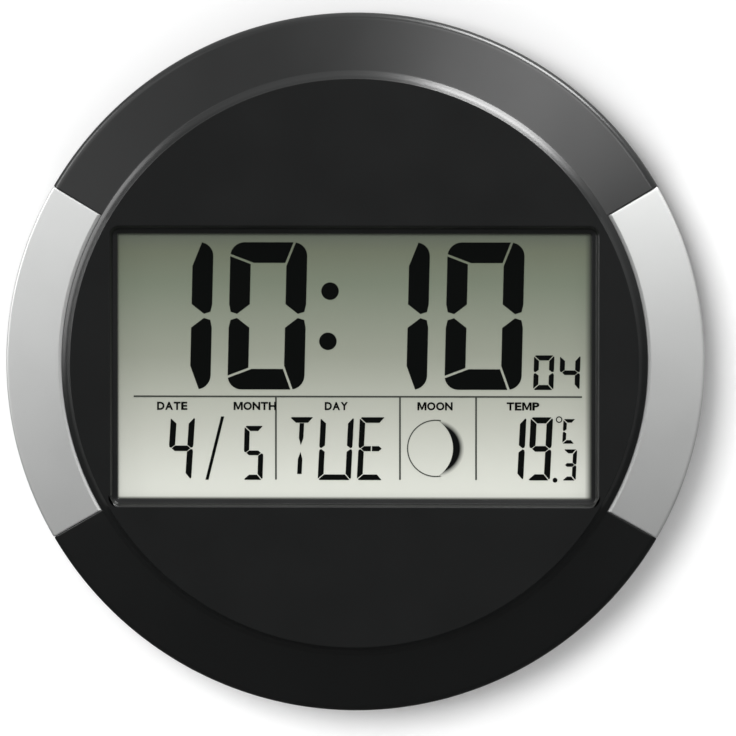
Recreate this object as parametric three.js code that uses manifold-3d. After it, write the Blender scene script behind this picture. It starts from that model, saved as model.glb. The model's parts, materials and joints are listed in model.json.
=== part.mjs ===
// A radio-controlled digital wall clock, as it would come apart on a bench.
// Sizes are in millimetres. While building, x points right and y up as seen from the front, and z points out
// of the wall towards the viewer. The last group stands the clock up: its front faces -Y, +Z is up, and the
// origin is the middle of the back, on the wall.
import * as THREE from 'three';
import { mergeVertices } from 'three/addons/utils/BufferGeometryUtils.js';
import Module from 'manifold-3d';

const wasm = await Module();
wasm.setup();

// Display window, measured at the front face
const windowWidth = 170.8;
const windowHeight = 98;
const windowCorner = 3.3;
const windowDrop = 1.1;
const lipWidth = 2.5;
const lipLand = 0.5;

// Front case: flat disc, bevel, sloping ring, rounded rim and skirt
const faceMargin = 1.398;
const bevelWidth = 3.1;
const bevelHeight = 3.2;
const ringWidth = 20;
const ringSlope = THREE.MathUtils.degToRad(13);
const rimRadius = 4.5;
const caseWall = 2.5;
const caseHeadroom = 2.2;

// Silver side trims, let into the ring and wrapped over the rim
const trimHalfAngle = THREE.MathUtils.degToRad(30.2);
const trimThickness = 1.2;
const trimInset = 0.4;
const trimChamfer = 0.6;
const trimRimRadius = 1.2;
const trimRearStrip = 2;
const trimGap = 0.15;
const trimPinRadius = 1.2;
const trimPinGap = 0.25;
const trimPinReach = 1.6;
const trimPinInset = 9.5;
const trimPinAngle = THREE.MathUtils.degToRad(18);

// Back cover
const backThickness = 2;
const backRise = 3.4;
const backSlopeWidth = 15.7;
const backLipHeight = 5.5;
const backLipThickness = 1.6;
const coverGap = 0.3;

// Case screws and the bosses that they join
const screwCount = 6;
const screwRadius = 1.5;
const screwLength = 10;
const screwHeadRadius = 2.75;
const screwHeadHeight = 2;
const screwHoleGap = 0.2;
const screwSeat = 5.5;
const screwSeatGap = 0.1;
const screwEndRoom = 1;
const screwTipRadius = 0.6;
const screwHeadRound = 0.8;
const headHoleGap = 0.35;
const coverBossWall = 1.3;
const coverBossFloor = 2.5;
const caseBossWall = 2;
const bossInset = 1.2;
const bossGap = 0.2;

// Layers of the display, from the front face inwards
const layerGap = 0.05;
const gasketThickness = 0.6;
const gasketSetback = 0.3;
const polariserThickness = 0.25;
const polariserMargin = 1.3;
const glassThickness = 1.1;
const glassMargin = 1.5;
const rearGlassMargin = 0.8;
const contactLedge = 2.3;
const reflectorThickness = 0.25;
const frameFloor = 1.5;
const frameWall = 1.6;
const frameGap = 0.3;
const frameWallReveal = 0.3;
const frameCornerOpening = 14;
const frameRim = 12;
const frameBar = 8;
const stripThickness = 1.6;
const stripLength = 136;
const stripSlotGap = 0.2;

// Main board, its screws and the bosses on the face
const boardThickness = 1.6;
const boardInset = 4.4;
const boardCorner = 2;
const earPitch = 60;
const earReach = 4.5;
const earRadius = 4.2;
const faceBossRadius = 3.2;
const boardScrewRadius = 1.2;
const boardScrewLength = 7;
const boardScrewHeadRadius = 2.4;
const boardScrewHeadHeight = 1.6;

// Parts on the rear of the main board, placed from the board's middle
const chipRadius = 9;
const chipHeight = 2.2;
const chipPlace = [20, 12];
const crystalRadius = 1.55;
const crystalLength = 8.2;
const crystalPlace = [46, 14];
const capacitorRadius = 3.15;
const capacitorHeight = 8;
const capacitorPlace = [-42, 16];
const switchWidth = 6.2;
const switchBody = 3.6;
const switchHeight = 5.2;
const switchStemRadius = 1.75;

// Push keys in a recess of the back cover
const keyPitch = 20;
const keyRise = 19.1;
const keyWidth = 11;
const keyHeight = 6.5;
const resetWidth = 6.5;
const keyHoleGap = 0.25;
const keyFaceInset = 0.6;
const keyFlangeMargin = 1.4;
const keyFlangeThickness = 1.2;
const keyStemRadius = 2;
const keyTravel = 0.6;
const keyPressGap = 0.15;
const keySeatGap = 0.15;
const recessWidth = 104;
const recessHeight = 15;
const recessDepth = 1.7;
const recessCorner = 5;

// Temperature sensor and the vent slots behind it
const ventPlace = -70;
const ventCount = 5;
const ventPitch = 3.6;
const ventWidth = 1.6;
const ventHeight = 14;
const sensorRadius = 1.8;
const sensorClearance = 2.5;
const sensorLeadRadius = 0.4;
const sensorLeadPitch = 1.6;

// Cells, their contacts and the well that holds them
const cellDiameter = 14.5;
const cellLength = 50.5;
const cellNubRadius = 2.75;
const cellNubHeight = 1;
const cellChamfer = 0.6;
const cellGap = 0.4;
const wellWall = 1.6;
const wellBoardGap = 2.4;
const contactThickness = 0.5;
const contactSize = 11;
const contactGap = 0.2;
const contactTabWidth = 3;
const contactTabReach = 2.6;
const contactTabRise = 3.8;
const contactSlotGap = 0.3;
const springLength = 8.5;
const springFootRadius = 4;
const springTipRadius = 2.6;
const springWireRadius = 0.4;
const springTurns = 4;
const leadRadius = 0.6;
const leadEndGap = 0.3;
const leadPadRise = 5;
const redPadPlace = 37;
const blackPadPlace = 44;

// Battery door
const doorThickness = 1.8;
const doorInset = 0.4;
const doorLap = 3;
const doorGap = 0.3;
const doorSeatGap = 0.1;
const doorCorner = 3;
const doorTabWidth = 8;
const doorTabReach = 2.2;
const doorTabThickness = 1.3;
const doorTabGap = 0.2;
const doorTabRoot = 3;
const doorTabSweep = 1.2;
const doorTabPlace = 20;
const latchWidth = 12;
const latchThickness = 1.2;
const latchInset = 0.6;
const latchDepth = 4.5;
const latchNub = 0.4;
const latchNubRise = 2.25;
const latchNubHeight = 1.1;
const latchRoom = 0.8;
const gripRidges = 3;
const gripPitch = 2.2;
const gripWidth = 0.9;
const gripRise = 0.3;
const scoopRadius = 9;
const scoopDepth = 1.2;

// Keyhole hanger
const keyholeInset = 16;
const keyholeRadius = 4.8;
const keyholeSlotRadius = 2.5;
const keyholeRise = 8.5;
const keyholeDepth = 5;
const keyholeSideRoom = 1.4;
const keyholeWall = 1.5;

// Ferrite antenna and its receiver
const antennaRise = 11.6;
const antennaShift = -12;
const antennaClearance = 0.6;
const rodRadius = 4;
const rodLength = 70;
const bobbinWall = 0.8;
const bobbinLength = 26;
const bobbinFlangeRadius = 6.6;
const bobbinFlangeWidth = 1.2;
const bobbinGap = 0.2;
const windingRadius = 5.9;
const windingGap = 0.1;
const cradleSpan = 27;
const cradleThickness = 2.4;
const cradleMargin = 2.5;
const cradleGap = 0.2;
const receiverShift = 60;
const receiverWidth = 24;
const receiverHeight = 16;
const receiverThickness = 1;
const receiverLift = 7;
const receiverPostRadius = 2.2;
const receiverPinRadius = 1;
const receiverPinGap = 0.2;
const receiverPinReach = 0.8;
const receiverPostSpan = 8.5;
const receiverChipRadius = 4;
const receiverChipHeight = 1.5;
const receiverCrystalRadius = 1;
const receiverCrystalLength = 6;
const antennaLeadRadius = 0.5;

// Smoothness of round forms
const largeSides = 72;
const cellSides = 20;
const roundSides = 16;
const smallSides = 10;
const screwSides = 8;
const wireSides = 6;
const rimSteps = 4;
const domeSteps = 4;
const cornerSteps = 2;
const keyholeSteps = 4;
const beadRings = 6;
const leadSteps = 12;
const springSides = 5;
const springStepsPerTurn = 8;
const weldDistance = 1e-4;

// Places that follow from the sizes above, starting at the middle of the front
const visibleWidth = windowWidth - 2 * lipWidth;
const visibleHeight = windowHeight - 2 * lipWidth;
const windowReach = windowCorner + Math.hypot(
  windowWidth / 2 - windowCorner,
  windowHeight / 2 + windowDrop - windowCorner,
);
const discRadius = windowReach + faceMargin;
const ringInner = discRadius + bevelWidth;
const caseRadius = ringInner + ringWidth;

// Depths, from the wall outwards
const doorBack = doorInset + doorThickness;
const wellDepth = doorBack + cellDiameter + 2 * cellGap;
const ringTop = wellDepth + wellWall + caseHeadroom + caseWall;
const caseDepth = ringTop + bevelHeight;
const faceInner = caseDepth - caseWall;
const gasketFront = faceInner - layerGap;
const polariserFront = gasketFront - gasketThickness - layerGap;
const frontGlassFront = polariserFront - polariserThickness - layerGap;
const rearGlassFront = frontGlassFront - glassThickness - layerGap;
const reflectorFront = rearGlassFront - glassThickness - layerGap;
const frameFront = reflectorFront - reflectorThickness - layerGap;
const boardFront = frameFront - frameFloor - layerGap;
const boardBack = boardFront - boardThickness;

// Outlines of the display and the boards behind it
const frontGlassWidth = visibleWidth + 2 * glassMargin;
const rearGlassHeight = visibleHeight + 2 * rearGlassMargin;
const frontGlassHeight = rearGlassHeight + 2 * contactLedge;
const frameWidth = frontGlassWidth + 2 * (frameGap + frameWall);
const frameHeight = frontGlassHeight + 2 * (frameGap + frameWall);
const earPlace = frameHeight / 2 + earReach;
const boardWidth = frontGlassWidth - 2 * boardInset;
const boardHeight = 2 * (earPlace + earRadius);
const boardTop = boardHeight / 2 - windowDrop;
const boardBottom = -boardHeight / 2 - windowDrop;

// Back cover, bosses and hanger
const backRadius = caseRadius - caseWall - coverGap;
const backFlatRadius = backRadius - backSlopeWidth;
const coverBossRadius = screwHeadRadius + headHoleGap + coverBossWall;
const caseBossRadius = screwRadius + caseBossWall;
const screwCircle = backRadius - backLipThickness - coverBossRadius - bossInset;
const bossJoint = screwSeat + coverBossFloor;
const keyholeHeight = backFlatRadius - keyholeInset;
const keyRow = boardBottom + keyRise;
const keyNames = ['mode', 'plus', 'minus', 'wave', 'reset'];

// Battery well, with the upper cell's positive end on the right and the lower one's on the left
const wellHeight = 2 * cellDiameter + 3 * cellGap;
const wellWidth = cellLength + springLength + 2 * contactThickness + 5 * contactGap;
const wellMiddle = boardBottom - wellBoardGap - wellWall - wellHeight / 2;
const cellRow = (cellDiameter + cellGap) / 2;
const cellHeight = doorBack + cellGap + cellDiameter / 2;
const contactTabHeight = cellHeight + contactTabRise;
const contactPlace = wellWidth / 2 - contactGap - contactThickness;
const recessTopEdge = wellHeight / 2 + doorLap;
const doorWidth = wellWidth + 2 * (doorLap - doorGap);
const doorHeight = wellHeight + 2 * (doorLap - doorGap);
const doorTabFront = backThickness + doorTabGap;
const doorTabBack = doorTabFront + doorTabThickness;

// Antenna, which passes in front of the hanger's pocket
const hangerRoof = backThickness + keyholeDepth + keyholeWall;
const antennaHeight = boardTop + antennaRise;
const antennaDepth = hangerRoof + antennaClearance + bobbinFlangeRadius;
const receiverPlace = antennaShift + receiverShift;
const receiverBack = backThickness + receiverLift;

// A closed three.js geometry as a solid that can be joined and cut, with its faces turned outwards
function toSolid(geometry) {
  const bare = geometry.clone();
  bare.deleteAttribute('normal');
  bare.deleteAttribute('uv');
  const merged = mergeVertices(bare, weldDistance);
  const corners = merged.index.array;
  const place = merged.attributes.position;
  const [a, b, c] = [new THREE.Vector3(), new THREE.Vector3(), new THREE.Vector3()];
  const triangles = [];
  let volume = 0;
  for (let i = 0; i < corners.length; i += 3) {
    const [p, q, r] = [corners[i], corners[i + 1], corners[i + 2]];
    if (p === q || q === r || r === p) continue;
    triangles.push([p, q, r]);
    a.fromBufferAttribute(place, p);
    b.fromBufferAttribute(place, q);
    c.fromBufferAttribute(place, r);
    volume += a.dot(b.cross(c));
  }
  const outward = volume > 0 ? triangles : triangles.map(([p, q, r]) => [p, r, q]);
  return new wasm.Manifold(new wasm.Mesh({
    numProp: 3,
    vertProperties: place.array,
    triVerts: new Uint32Array(outward.flat()),
  }));
}

function toGeometry(solid) {
  const mesh = solid.getMesh();
  const geometry = new THREE.BufferGeometry();
  geometry.setAttribute('position', new THREE.BufferAttribute(mesh.vertProperties, 3));
  geometry.setIndex(new THREE.BufferAttribute(mesh.triVerts, 1));
  const faceted = geometry.toNonIndexed();
  faceted.computeVertexNormals();
  return faceted;
}

function join(...solids) {
  return solids.reduce((whole, solid) => whole.add(solid));
}

function cut(solid, ...cutters) {
  return cutters.reduce((rest, cutter) => rest.subtract(cutter), solid);
}

function piece(name, solid, material, place = [0, 0, 0]) {
  const mesh = new THREE.Mesh(toGeometry(solid), material);
  mesh.name = name;
  mesh.position.set(...place);
  return mesh;
}

// Basic forms, each given by the range that it fills along x, y and z
function block([x0, x1], [y0, y1], [z0, z1]) {
  const box = new THREE.BoxGeometry(x1 - x0, y1 - y0, z1 - z0);
  return toSolid(box.translate((x0 + x1) / 2, (y0 + y1) / 2, (z0 + z1) / 2));
}

function post(radius, [z0, z1], [x, y] = [0, 0], sides = smallSides) {
  const drum = new THREE.CylinderGeometry(radius, radius, z1 - z0, sides).rotateX(Math.PI / 2);
  return toSolid(drum.translate(x, y, (z0 + z1) / 2));
}

function roundedRectangle(width, height, radius, [x, y] = [0, 0]) {
  const shape = new THREE.Shape();
  const [w, h] = [width / 2 - radius, height / 2 - radius];
  shape.absarc(x + w, y - h, radius, -Math.PI / 2, 0);
  shape.absarc(x + w, y + h, radius, 0, Math.PI / 2);
  shape.absarc(x - w, y + h, radius, Math.PI / 2, Math.PI);
  shape.absarc(x - w, y - h, radius, Math.PI, 1.5 * Math.PI);
  shape.closePath();
  return shape;
}

function plate(shape, [z0, z1], curveSegments = 1) {
  const slab = new THREE.ExtrudeGeometry(shape, { depth: z1 - z0, bevelEnabled: false, curveSegments });
  return toSolid(slab.translate(0, 0, z0));
}

// A closed profile of [radius, height] points turned about the z axis
function revolve(profile, sides = smallSides) {
  const points = profile.map(([r, z]) => new THREE.Vector2(r, z));
  const [first, last] = [points[0], points[points.length - 1]];
  if (first.x > 0 || last.x > 0) points.push(first.clone());
  return toSolid(new THREE.LatheGeometry(points, sides).rotateX(Math.PI / 2));
}

// The path moved sideways with mitred corners: a positive distance moves it to the right of its direction
function offsetPath(path, distance) {
  const points = path.map(([r, z]) => new THREE.Vector2(r, z));
  const normals = points.slice(1).map((point, i) => {
    const run = point.clone().sub(points[i]).normalize();
    return new THREE.Vector2(run.y, -run.x);
  });
  return points.map((point, i) => {
    const before = normals[Math.max(i - 1, 0)];
    const after = normals[Math.min(i, normals.length - 1)];
    const mitre = before.clone().add(after).normalize();
    const moved = point.clone().addScaledVector(mitre, distance / mitre.dot(after));
    return [moved.x, moved.y];
  });
}

// A round bar along a smooth line through the points
function bar(points, radius, sides, steps) {
  const section = new THREE.Shape(Array.from({ length: sides }, (_, i) => {
    const turn = (2 * Math.PI * i) / sides;
    return new THREE.Vector2(radius * Math.cos(turn), radius * Math.sin(turn));
  }));
  const extrudePath = new THREE.CatmullRomCurve3(points.map((point) => new THREE.Vector3(...point)));
  return toSolid(new THREE.ExtrudeGeometry(section, { steps, extrudePath }));
}

function polar(radius, angle) {
  return [radius * Math.cos(angle), radius * Math.sin(angle)];
}

function finish(color, roughness, metalness = 0) {
  return new THREE.MeshStandardMaterial({ color, roughness, metalness });
}

// Height of the sloping ring's outer surface at a radius
function ringHeight(radius) {
  return ringTop - Math.tan(ringSlope) * (radius - ringInner);
}

// The ring's outer line from a radius on the slope, round the rim and down the skirt to a height
function ringPath(startRadius, endHeight, edgeRadius = rimRadius) {
  const centreRadius = caseRadius - edgeRadius;
  const meetRadius = centreRadius + edgeRadius * Math.sin(ringSlope);
  const centreHeight = ringHeight(meetRadius) - edgeRadius * Math.cos(ringSlope);
  const rim = Array.from({ length: rimSteps + 1 }, (_, i) => {
    const turn = (Math.PI / 2 - ringSlope) * (1 - i / rimSteps);
    return [centreRadius + edgeRadius * Math.cos(turn), centreHeight + edgeRadius * Math.sin(turn)];
  });
  return [[startRadius, ringHeight(startRadius)], ...rim, [caseRadius, endHeight]];
}

// A wedge about the +x axis, or the -x axis for side -1, that takes one trim's share out of a ring
function trimWedge(side, widening) {
  const reach = 2 * caseRadius;
  const half = reach * Math.tan(trimHalfAngle) + widening / Math.cos(trimHalfAngle);
  const tip = -widening / Math.sin(trimHalfAngle);
  const wedge = new THREE.Shape([
    new THREE.Vector2(side * tip, 0),
    new THREE.Vector2(side * reach, -side * half),
    new THREE.Vector2(side * reach, side * half),
  ]);
  return plate(wedge, [-caseDepth, 2 * caseDepth]);
}

function trimPins(side, radius) {
  return [-1, 1].map((end) => {
    const [x, y] = polar(ringInner + trimPinInset, end * trimPinAngle);
    const height = ringHeight(ringInner + trimPinInset);
    const range = [height - caseWall - trimPinReach, height - trimThickness / 2];
    return post(radius, range, [side * x, y]);
  });
}

// Places of the case screws, evenly round their circle
function screwPlaces() {
  return Array.from({ length: screwCount }, (_, i) => polar(screwCircle, (2 * Math.PI * i) / screwCount));
}

// Places of the board screws, in a row above the display and a row below it
function earPlaces() {
  return [-1, 1].flatMap((row) => [-1, 0, 1].map((column) => [
    column * earPitch,
    row * earPlace - windowDrop,
  ]));
}

// The opening through the face, and the lip that slopes down to it from the window's outer line
function windowCuts() {
  const outline = roundedRectangle(visibleWidth, visibleHeight, windowCorner - lipWidth, [0, -windowDrop]);
  const opening = plate(outline, [faceInner - caseWall, caseDepth + caseWall], cornerSteps);
  const lip = new THREE.ExtrudeGeometry(outline, {
    depth: caseWall,
    bevelThickness: caseWall - lipLand,
    bevelSize: lipWidth,
    bevelSegments: 1,
    curveSegments: cornerSteps,
  });
  return [opening, toSolid(lip.translate(0, 0, caseDepth))];
}

// The sunk seats that the trims lie in, and the holes for their pins
function trimSeats() {
  const seatLine = ringPath(ringInner + trimInset - trimGap, backRise + trimRearStrip - trimGap);
  const seatRing = revolve([
    ...offsetPath(seatLine, -caseWall),
    ...offsetPath(seatLine, trimThickness + trimGap).reverse(),
  ], largeSides);
  const seats = [-1, 1].map((side) => seatRing.intersect(trimWedge(side, trimGap)));
  const pinHoles = [-1, 1].flatMap((side) => trimPins(side, trimPinRadius + trimPinGap));
  return [...seats, ...pinHoles];
}

// Bosses for the case screws and the board screws, with a pilot hole in each
function caseBosses() {
  const bossTop = ringHeight(screwCircle + caseBossRadius) - caseWall / 2;
  const bossRange = [bossJoint + bossGap, bossTop];
  const faceBossRange = [frameFront + layerGap, faceInner + caseWall / 2];
  const pilotRange = [bossJoint, screwSeat + screwLength + screwEndRoom];
  const facePilotRange = [frameFront, boardBack + boardScrewLength + screwEndRoom / 2];
  return {
    shells: [
      ...screwPlaces().map((at) => post(caseBossRadius, bossRange, at)),
      ...earPlaces().map((at) => post(faceBossRadius, faceBossRange, at)),
    ],
    cuts: [
      ...screwPlaces().map((at) => post(screwRadius + screwSeatGap, pilotRange, at)),
      ...earPlaces().map((at) => post(boardScrewRadius + screwSeatGap, facePilotRange, at)),
    ],
  };
}

// The front shell: face, bevel, ring, rim and skirt in one turned profile
function frontCase() {
  const outside = [[0, caseDepth], [discRadius, caseDepth], ...ringPath(ringInner, backRise)];
  const inside = offsetPath(outside, caseWall);
  const shell = revolve([...outside, ...inside.reverse()], largeSides);
  const bosses = caseBosses();
  const body = cut(join(shell, ...bosses.shells), ...windowCuts(), ...trimSeats(), ...bosses.cuts);
  return piece('front_case', body, finish(0x232626, 0.42));
}

// One silver trim: a strip of the ring's own slope with a crisper rim, a chamfered inner edge and two pins
function sideTrim(name, side) {
  const rear = backRise + trimRearStrip;
  const outer = ringPath(ringInner + trimInset + trimChamfer, rear, trimRimRadius);
  const edge = offsetPath(ringPath(ringInner + trimInset, rear), trimChamfer)[0];
  const inner = offsetPath(ringPath(ringInner + trimInset, rear), trimThickness);
  const strip = revolve([edge, ...outer, ...inner.reverse()], largeSides).intersect(trimWedge(side, 0));
  return piece(name, join(strip, ...trimPins(side, trimPinRadius)), finish(0xc9cbcb, 0.34, 0.6));
}

// A flat sheet of the display stack, given by its size and its front face
function displayLayer(name, width, height, front, thickness, material) {
  const sheet = block([-width / 2, width / 2], [-height / 2, height / 2], [-thickness, 0]);
  return piece(name, sheet, material, [0, -windowDrop, front]);
}

function displayGasket() {
  const outer = roundedRectangle(
    visibleWidth + 2 * polariserMargin,
    visibleHeight + 2 * polariserMargin,
    polariserMargin,
  );
  outer.holes.push(roundedRectangle(
    visibleWidth + 2 * gasketSetback,
    visibleHeight + 2 * gasketSetback,
    gasketSetback,
  ));
  const ring = plate(outer, [-gasketThickness, 0]);
  return piece('lcd_gasket', ring, finish(0x1a1a1a, 0.95), [0, -windowDrop, gasketFront]);
}

// Place of an elastomer strip on the middle of a contact ledge
function stripPlace(row) {
  return row * (rearGlassHeight + contactLedge) / 2;
}

// The tray behind the glass: floor with two windows, four low walls, slots for the strips and screw ears
function displayFrame() {
  const [w, h] = [frameWidth / 2, frameHeight / 2];
  const floorRange = [-frameFloor, 0];
  const wallRange = [-frameFloor, frontGlassFront - frameWallReveal - frameFront];
  const floor = plate(roundedRectangle(frameWidth, frameHeight, frameWall), floorRange);
  const walls = [-1, 1].flatMap((side) => [
    block(
      [side * w - frameWall * (side + 1) / 2, side * w - frameWall * (side - 1) / 2],
      [frameCornerOpening - h, h - frameCornerOpening],
      wallRange,
    ),
    block(
      [frameCornerOpening - w, w - frameCornerOpening],
      [side * h - frameWall * (side + 1) / 2, side * h - frameWall * (side - 1) / 2],
      wallRange,
    ),
  ]);
  const ears = earPlaces().flatMap(([x, y]) => {
    const row = Math.sign(y + windowDrop);
    const stem = [row * h, row * earPlace].sort((a, b) => a - b);
    return [
      post(earRadius, floorRange, [x, row * earPlace]),
      block([x - earRadius, x + earRadius], stem, floorRange),
    ];
  });
  const through = [-2 * frameFloor, frameFloor];
  const openings = [-1, 1].map((side) => {
    const span = [frameBar / 2, w - frameRim].map((x) => side * x).sort((a, b) => a - b);
    return block(span, [frameRim - h, h - frameRim], through);
  });
  const slots = [-1, 1].map((row) => {
    const half = stripThickness / 2 + stripSlotGap;
    const length = stripLength / 2 + stripSlotGap;
    return block([-length, length], [stripPlace(row) - half, stripPlace(row) + half], through);
  });
  const holes = earPlaces().map(([x, y]) => (
    post(boardScrewRadius + screwHoleGap, through, [x, y + windowDrop])
  ));
  const tray = cut(join(floor, ...walls, ...ears), ...openings, ...slots, ...holes);
  return piece('lcd_frame', tray, finish(0xe8e8e4, 0.6), [0, -windowDrop, frameFront]);
}

function elastomerStrip(name, row) {
  const height = rearGlassFront - boardFront - layerGap;
  const strip = block(
    [-stripLength / 2, stripLength / 2],
    [-stripThickness / 2, stripThickness / 2],
    [0, height],
  );
  const place = [0, stripPlace(row) - windowDrop, boardFront + layerGap];
  return piece(name, strip, finish(0x3a3440, 0.8), place);
}

function mainBoard() {
  const sheet = plate(roundedRectangle(boardWidth, boardHeight, boardCorner), [-boardThickness, 0]);
  const holes = earPlaces().map(([x, y]) => (
    post(boardScrewRadius + screwHoleGap, [-2 * boardThickness, boardThickness], [x, y + windowDrop])
  ));
  return piece('main_board', cut(sheet, ...holes), finish(0x2d6a3e, 0.5), [0, -windowDrop, boardFront]);
}

// A domed drop of potting over a chip, standing on its flat side
function pottedChip(radius, height) {
  const dome = Array.from({ length: domeSteps + 1 }, (_, i) => {
    const turn = (Math.PI / 2) * (i / domeSteps);
    return [radius * Math.cos(turn), height * Math.sin(turn)];
  });
  return revolve([[0, 0], ...dome], roundSides);
}

// Parts soldered to the rear of the main board point away from it, towards the wall
function boardParts() {
  const group = new THREE.Group();
  group.position.set(0, -windowDrop, boardBack - layerGap);
  group.rotation.x = Math.PI;
  const can = post(crystalRadius, [-crystalLength / 2, crystalLength / 2]);
  const crystal = piece('clock_crystal', can, finish(0xc8c8c8, 0.3, 0.9));
  crystal.position.set(crystalPlace[0], -crystalPlace[1], crystalRadius);
  crystal.rotation.y = Math.PI / 2;
  const [chipX, chipY] = chipPlace;
  const [capacitorX, capacitorY] = capacitorPlace;
  const chip = pottedChip(chipRadius, chipHeight);
  const drum = post(capacitorRadius, [0, capacitorHeight], [0, 0], roundSides);
  group.add(
    piece('controller_chip', chip, finish(0x101010, 0.35), [chipX, -chipY, 0]),
    piece('filter_capacitor', drum, finish(0x22304a, 0.45), [capacitorX, -capacitorY, 0]),
    crystal,
    ...keyNames.map((name, i) => {
      const half = switchWidth / 2;
      const body = block([-half, half], [-half, half], [0, switchBody]);
      const stem = post(switchStemRadius, [switchBody / 2, switchHeight]);
      const place = [keyPlace(i), -(keyRow + windowDrop), 0];
      return piece(`${name}_switch`, join(body, stem), finish(0x1c1c1c, 0.5), place);
    }),
  );
  return group;
}

// A bead on two wires that reaches from the board to just inside the vents
function temperatureSensor() {
  const beadHeight = backThickness + sensorClearance + sensorRadius;
  const ball = new THREE.SphereGeometry(sensorRadius, smallSides, beadRings);
  const bead = toSolid(ball.translate(0, 0, beadHeight));
  const wireRange = [beadHeight, boardBack - layerGap];
  const wires = [-1, 1].map((side) => (
    post(sensorLeadRadius, wireRange, [side * sensorLeadPitch / 2, 0], wireSides)
  ));
  const sensor = join(bead, ...wires);
  return piece('temperature_sensor', sensor, finish(0x1f1a18, 0.4), [ventPlace, keyRow, 0]);
}

function keyPlace(index) {
  return keyPitch * (index - (keyNames.length - 1) / 2);
}

function keyCapWidth(name) {
  return name === 'reset' ? resetWidth : keyWidth;
}

// A push key: the cap in its hole, a flange that keeps it in, and a stem to the switch
function pushKey(name, index) {
  const width = keyCapWidth(name);
  const floorInner = recessDepth + backThickness;
  const flangeBack = floorInner + keySeatGap;
  const flangeFront = flangeBack + keyFlangeThickness;
  const tip = boardBack - layerGap - switchHeight - keyTravel - keyPressGap;
  const capOutline = roundedRectangle(width, keyHeight, keyHeight / 2);
  const cap = plate(capOutline, [keyFaceInset, flangeFront], cornerSteps);
  const flange = plate(
    roundedRectangle(
      width + 2 * keyFlangeMargin,
      keyHeight + 2 * keyFlangeMargin,
      keyHeight / 2 + keyFlangeMargin,
    ),
    [flangeBack, flangeFront],
    cornerSteps,
  );
  const stem = post(keyStemRadius, [flangeBack, tip]);
  const key = join(cap, flange, stem);
  return piece(`${name}_button`, key, finish(0x2b2d2d, 0.6), [keyPlace(index), keyRow, 0]);
}

// The keyhole's outline: a round entry with a narrow slot above it
function keyholeShape() {
  const shape = new THREE.Shape();
  const meet = Math.sqrt(keyholeRadius ** 2 - keyholeSlotRadius ** 2);
  const turn = Math.atan2(meet, keyholeSlotRadius);
  shape.moveTo(keyholeSlotRadius, keyholeHeight + meet);
  shape.lineTo(keyholeSlotRadius, keyholeHeight + keyholeRise);
  shape.absarc(0, keyholeHeight + keyholeRise, keyholeSlotRadius, 0, Math.PI);
  shape.lineTo(-keyholeSlotRadius, keyholeHeight + meet);
  shape.absarc(0, keyholeHeight, keyholeRadius, Math.PI - turn, 2 * Math.PI + turn);
  return shape;
}

// Walls that stand up from the cover round a hollow, and the hollow itself
function tub(width, height, corner, wall, [x, y], floor, roof) {
  const shell = plate(
    roundedRectangle(width + 2 * wall, height + 2 * wall, corner + wall, [x, y]),
    [backThickness / 2, roof],
  );
  const hollow = plate(roundedRectangle(width, height, corner, [x, y]), [-backThickness, floor]);
  return { shell, hollow };
}

// Additions and cuts for the keyhole and the pocket behind it
function keyholePocket() {
  const width = 2 * (keyholeRadius + keyholeSideRoom);
  const height = keyholeRise + width;
  const at = [0, keyholeHeight + keyholeRise / 2];
  const pocketRange = [backThickness, backThickness + keyholeDepth];
  const outline = roundedRectangle(width, height, keyholeSideRoom, at);
  const shellOutline = roundedRectangle(
    width + 2 * keyholeWall,
    height + 2 * keyholeWall,
    keyholeSideRoom + keyholeWall,
    at,
  );
  return {
    shell: plate(shellOutline, [backThickness / 2, hangerRoof]),
    cuts: [
      plate(outline, pocketRange),
      plate(keyholeShape(), [-backThickness, backThickness + keyholeDepth / 2], keyholeSteps),
    ],
  };
}

// Additions and cuts for the battery well, the door's seat, its hook slots, latch slot and finger scoop
function batteryWell() {
  const at = [0, wellMiddle];
  const ledgeFront = doorBack + doorSeatGap;
  const ledgeBack = ledgeFront + wellWall;
  const well = tub(wellWidth, wellHeight, cellGap, wellWall, at, wellDepth, wellDepth + wellWall);
  const seat = tub(
    wellWidth + 2 * doorLap,
    wellHeight + 2 * doorLap,
    doorCorner,
    wellWall,
    at,
    ledgeFront,
    ledgeBack,
  );
  const topEdge = wellMiddle + recessTopEdge;
  const bottomEdge = wellMiddle - recessTopEdge;
  const hookSlots = [-1, 1].map((side) => {
    const half = doorTabWidth / 2 + doorGap;
    const middle = side * doorTabPlace;
    return block(
      [middle - half, middle + half],
      [topEdge - doorLap - doorTabRoot, topEdge + doorTabReach + doorTabSweep],
      [backThickness, doorTabBack + doorTabSweep],
    );
  });
  const latchHalf = latchWidth / 2 + doorGap;
  const latchSlot = block(
    [-latchHalf, latchHalf],
    [bottomEdge, bottomEdge + doorLap + wellWall],
    [backThickness, doorBack + latchDepth + latchRoom],
  );
  const scoop = post(scoopRadius, [-backThickness, scoopDepth], [0, bottomEdge], roundSides);
  const tabSlots = [-1, 1].map((row) => {
    const half = contactTabWidth / 2 + contactSlotGap;
    const thickness = contactThickness / 2 + contactSlotGap;
    const middle = wellMiddle + row * cellRow;
    return block(
      [contactPlace, wellWidth / 2 + 2 * wellWall],
      [middle - half, middle + half],
      [contactTabHeight - thickness, contactTabHeight + thickness],
    );
  });
  return {
    shells: [well.shell, seat.shell],
    cuts: [seat.hollow, well.hollow, ...hookSlots, latchSlot, scoop, ...tabSlots],
  };
}

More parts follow.
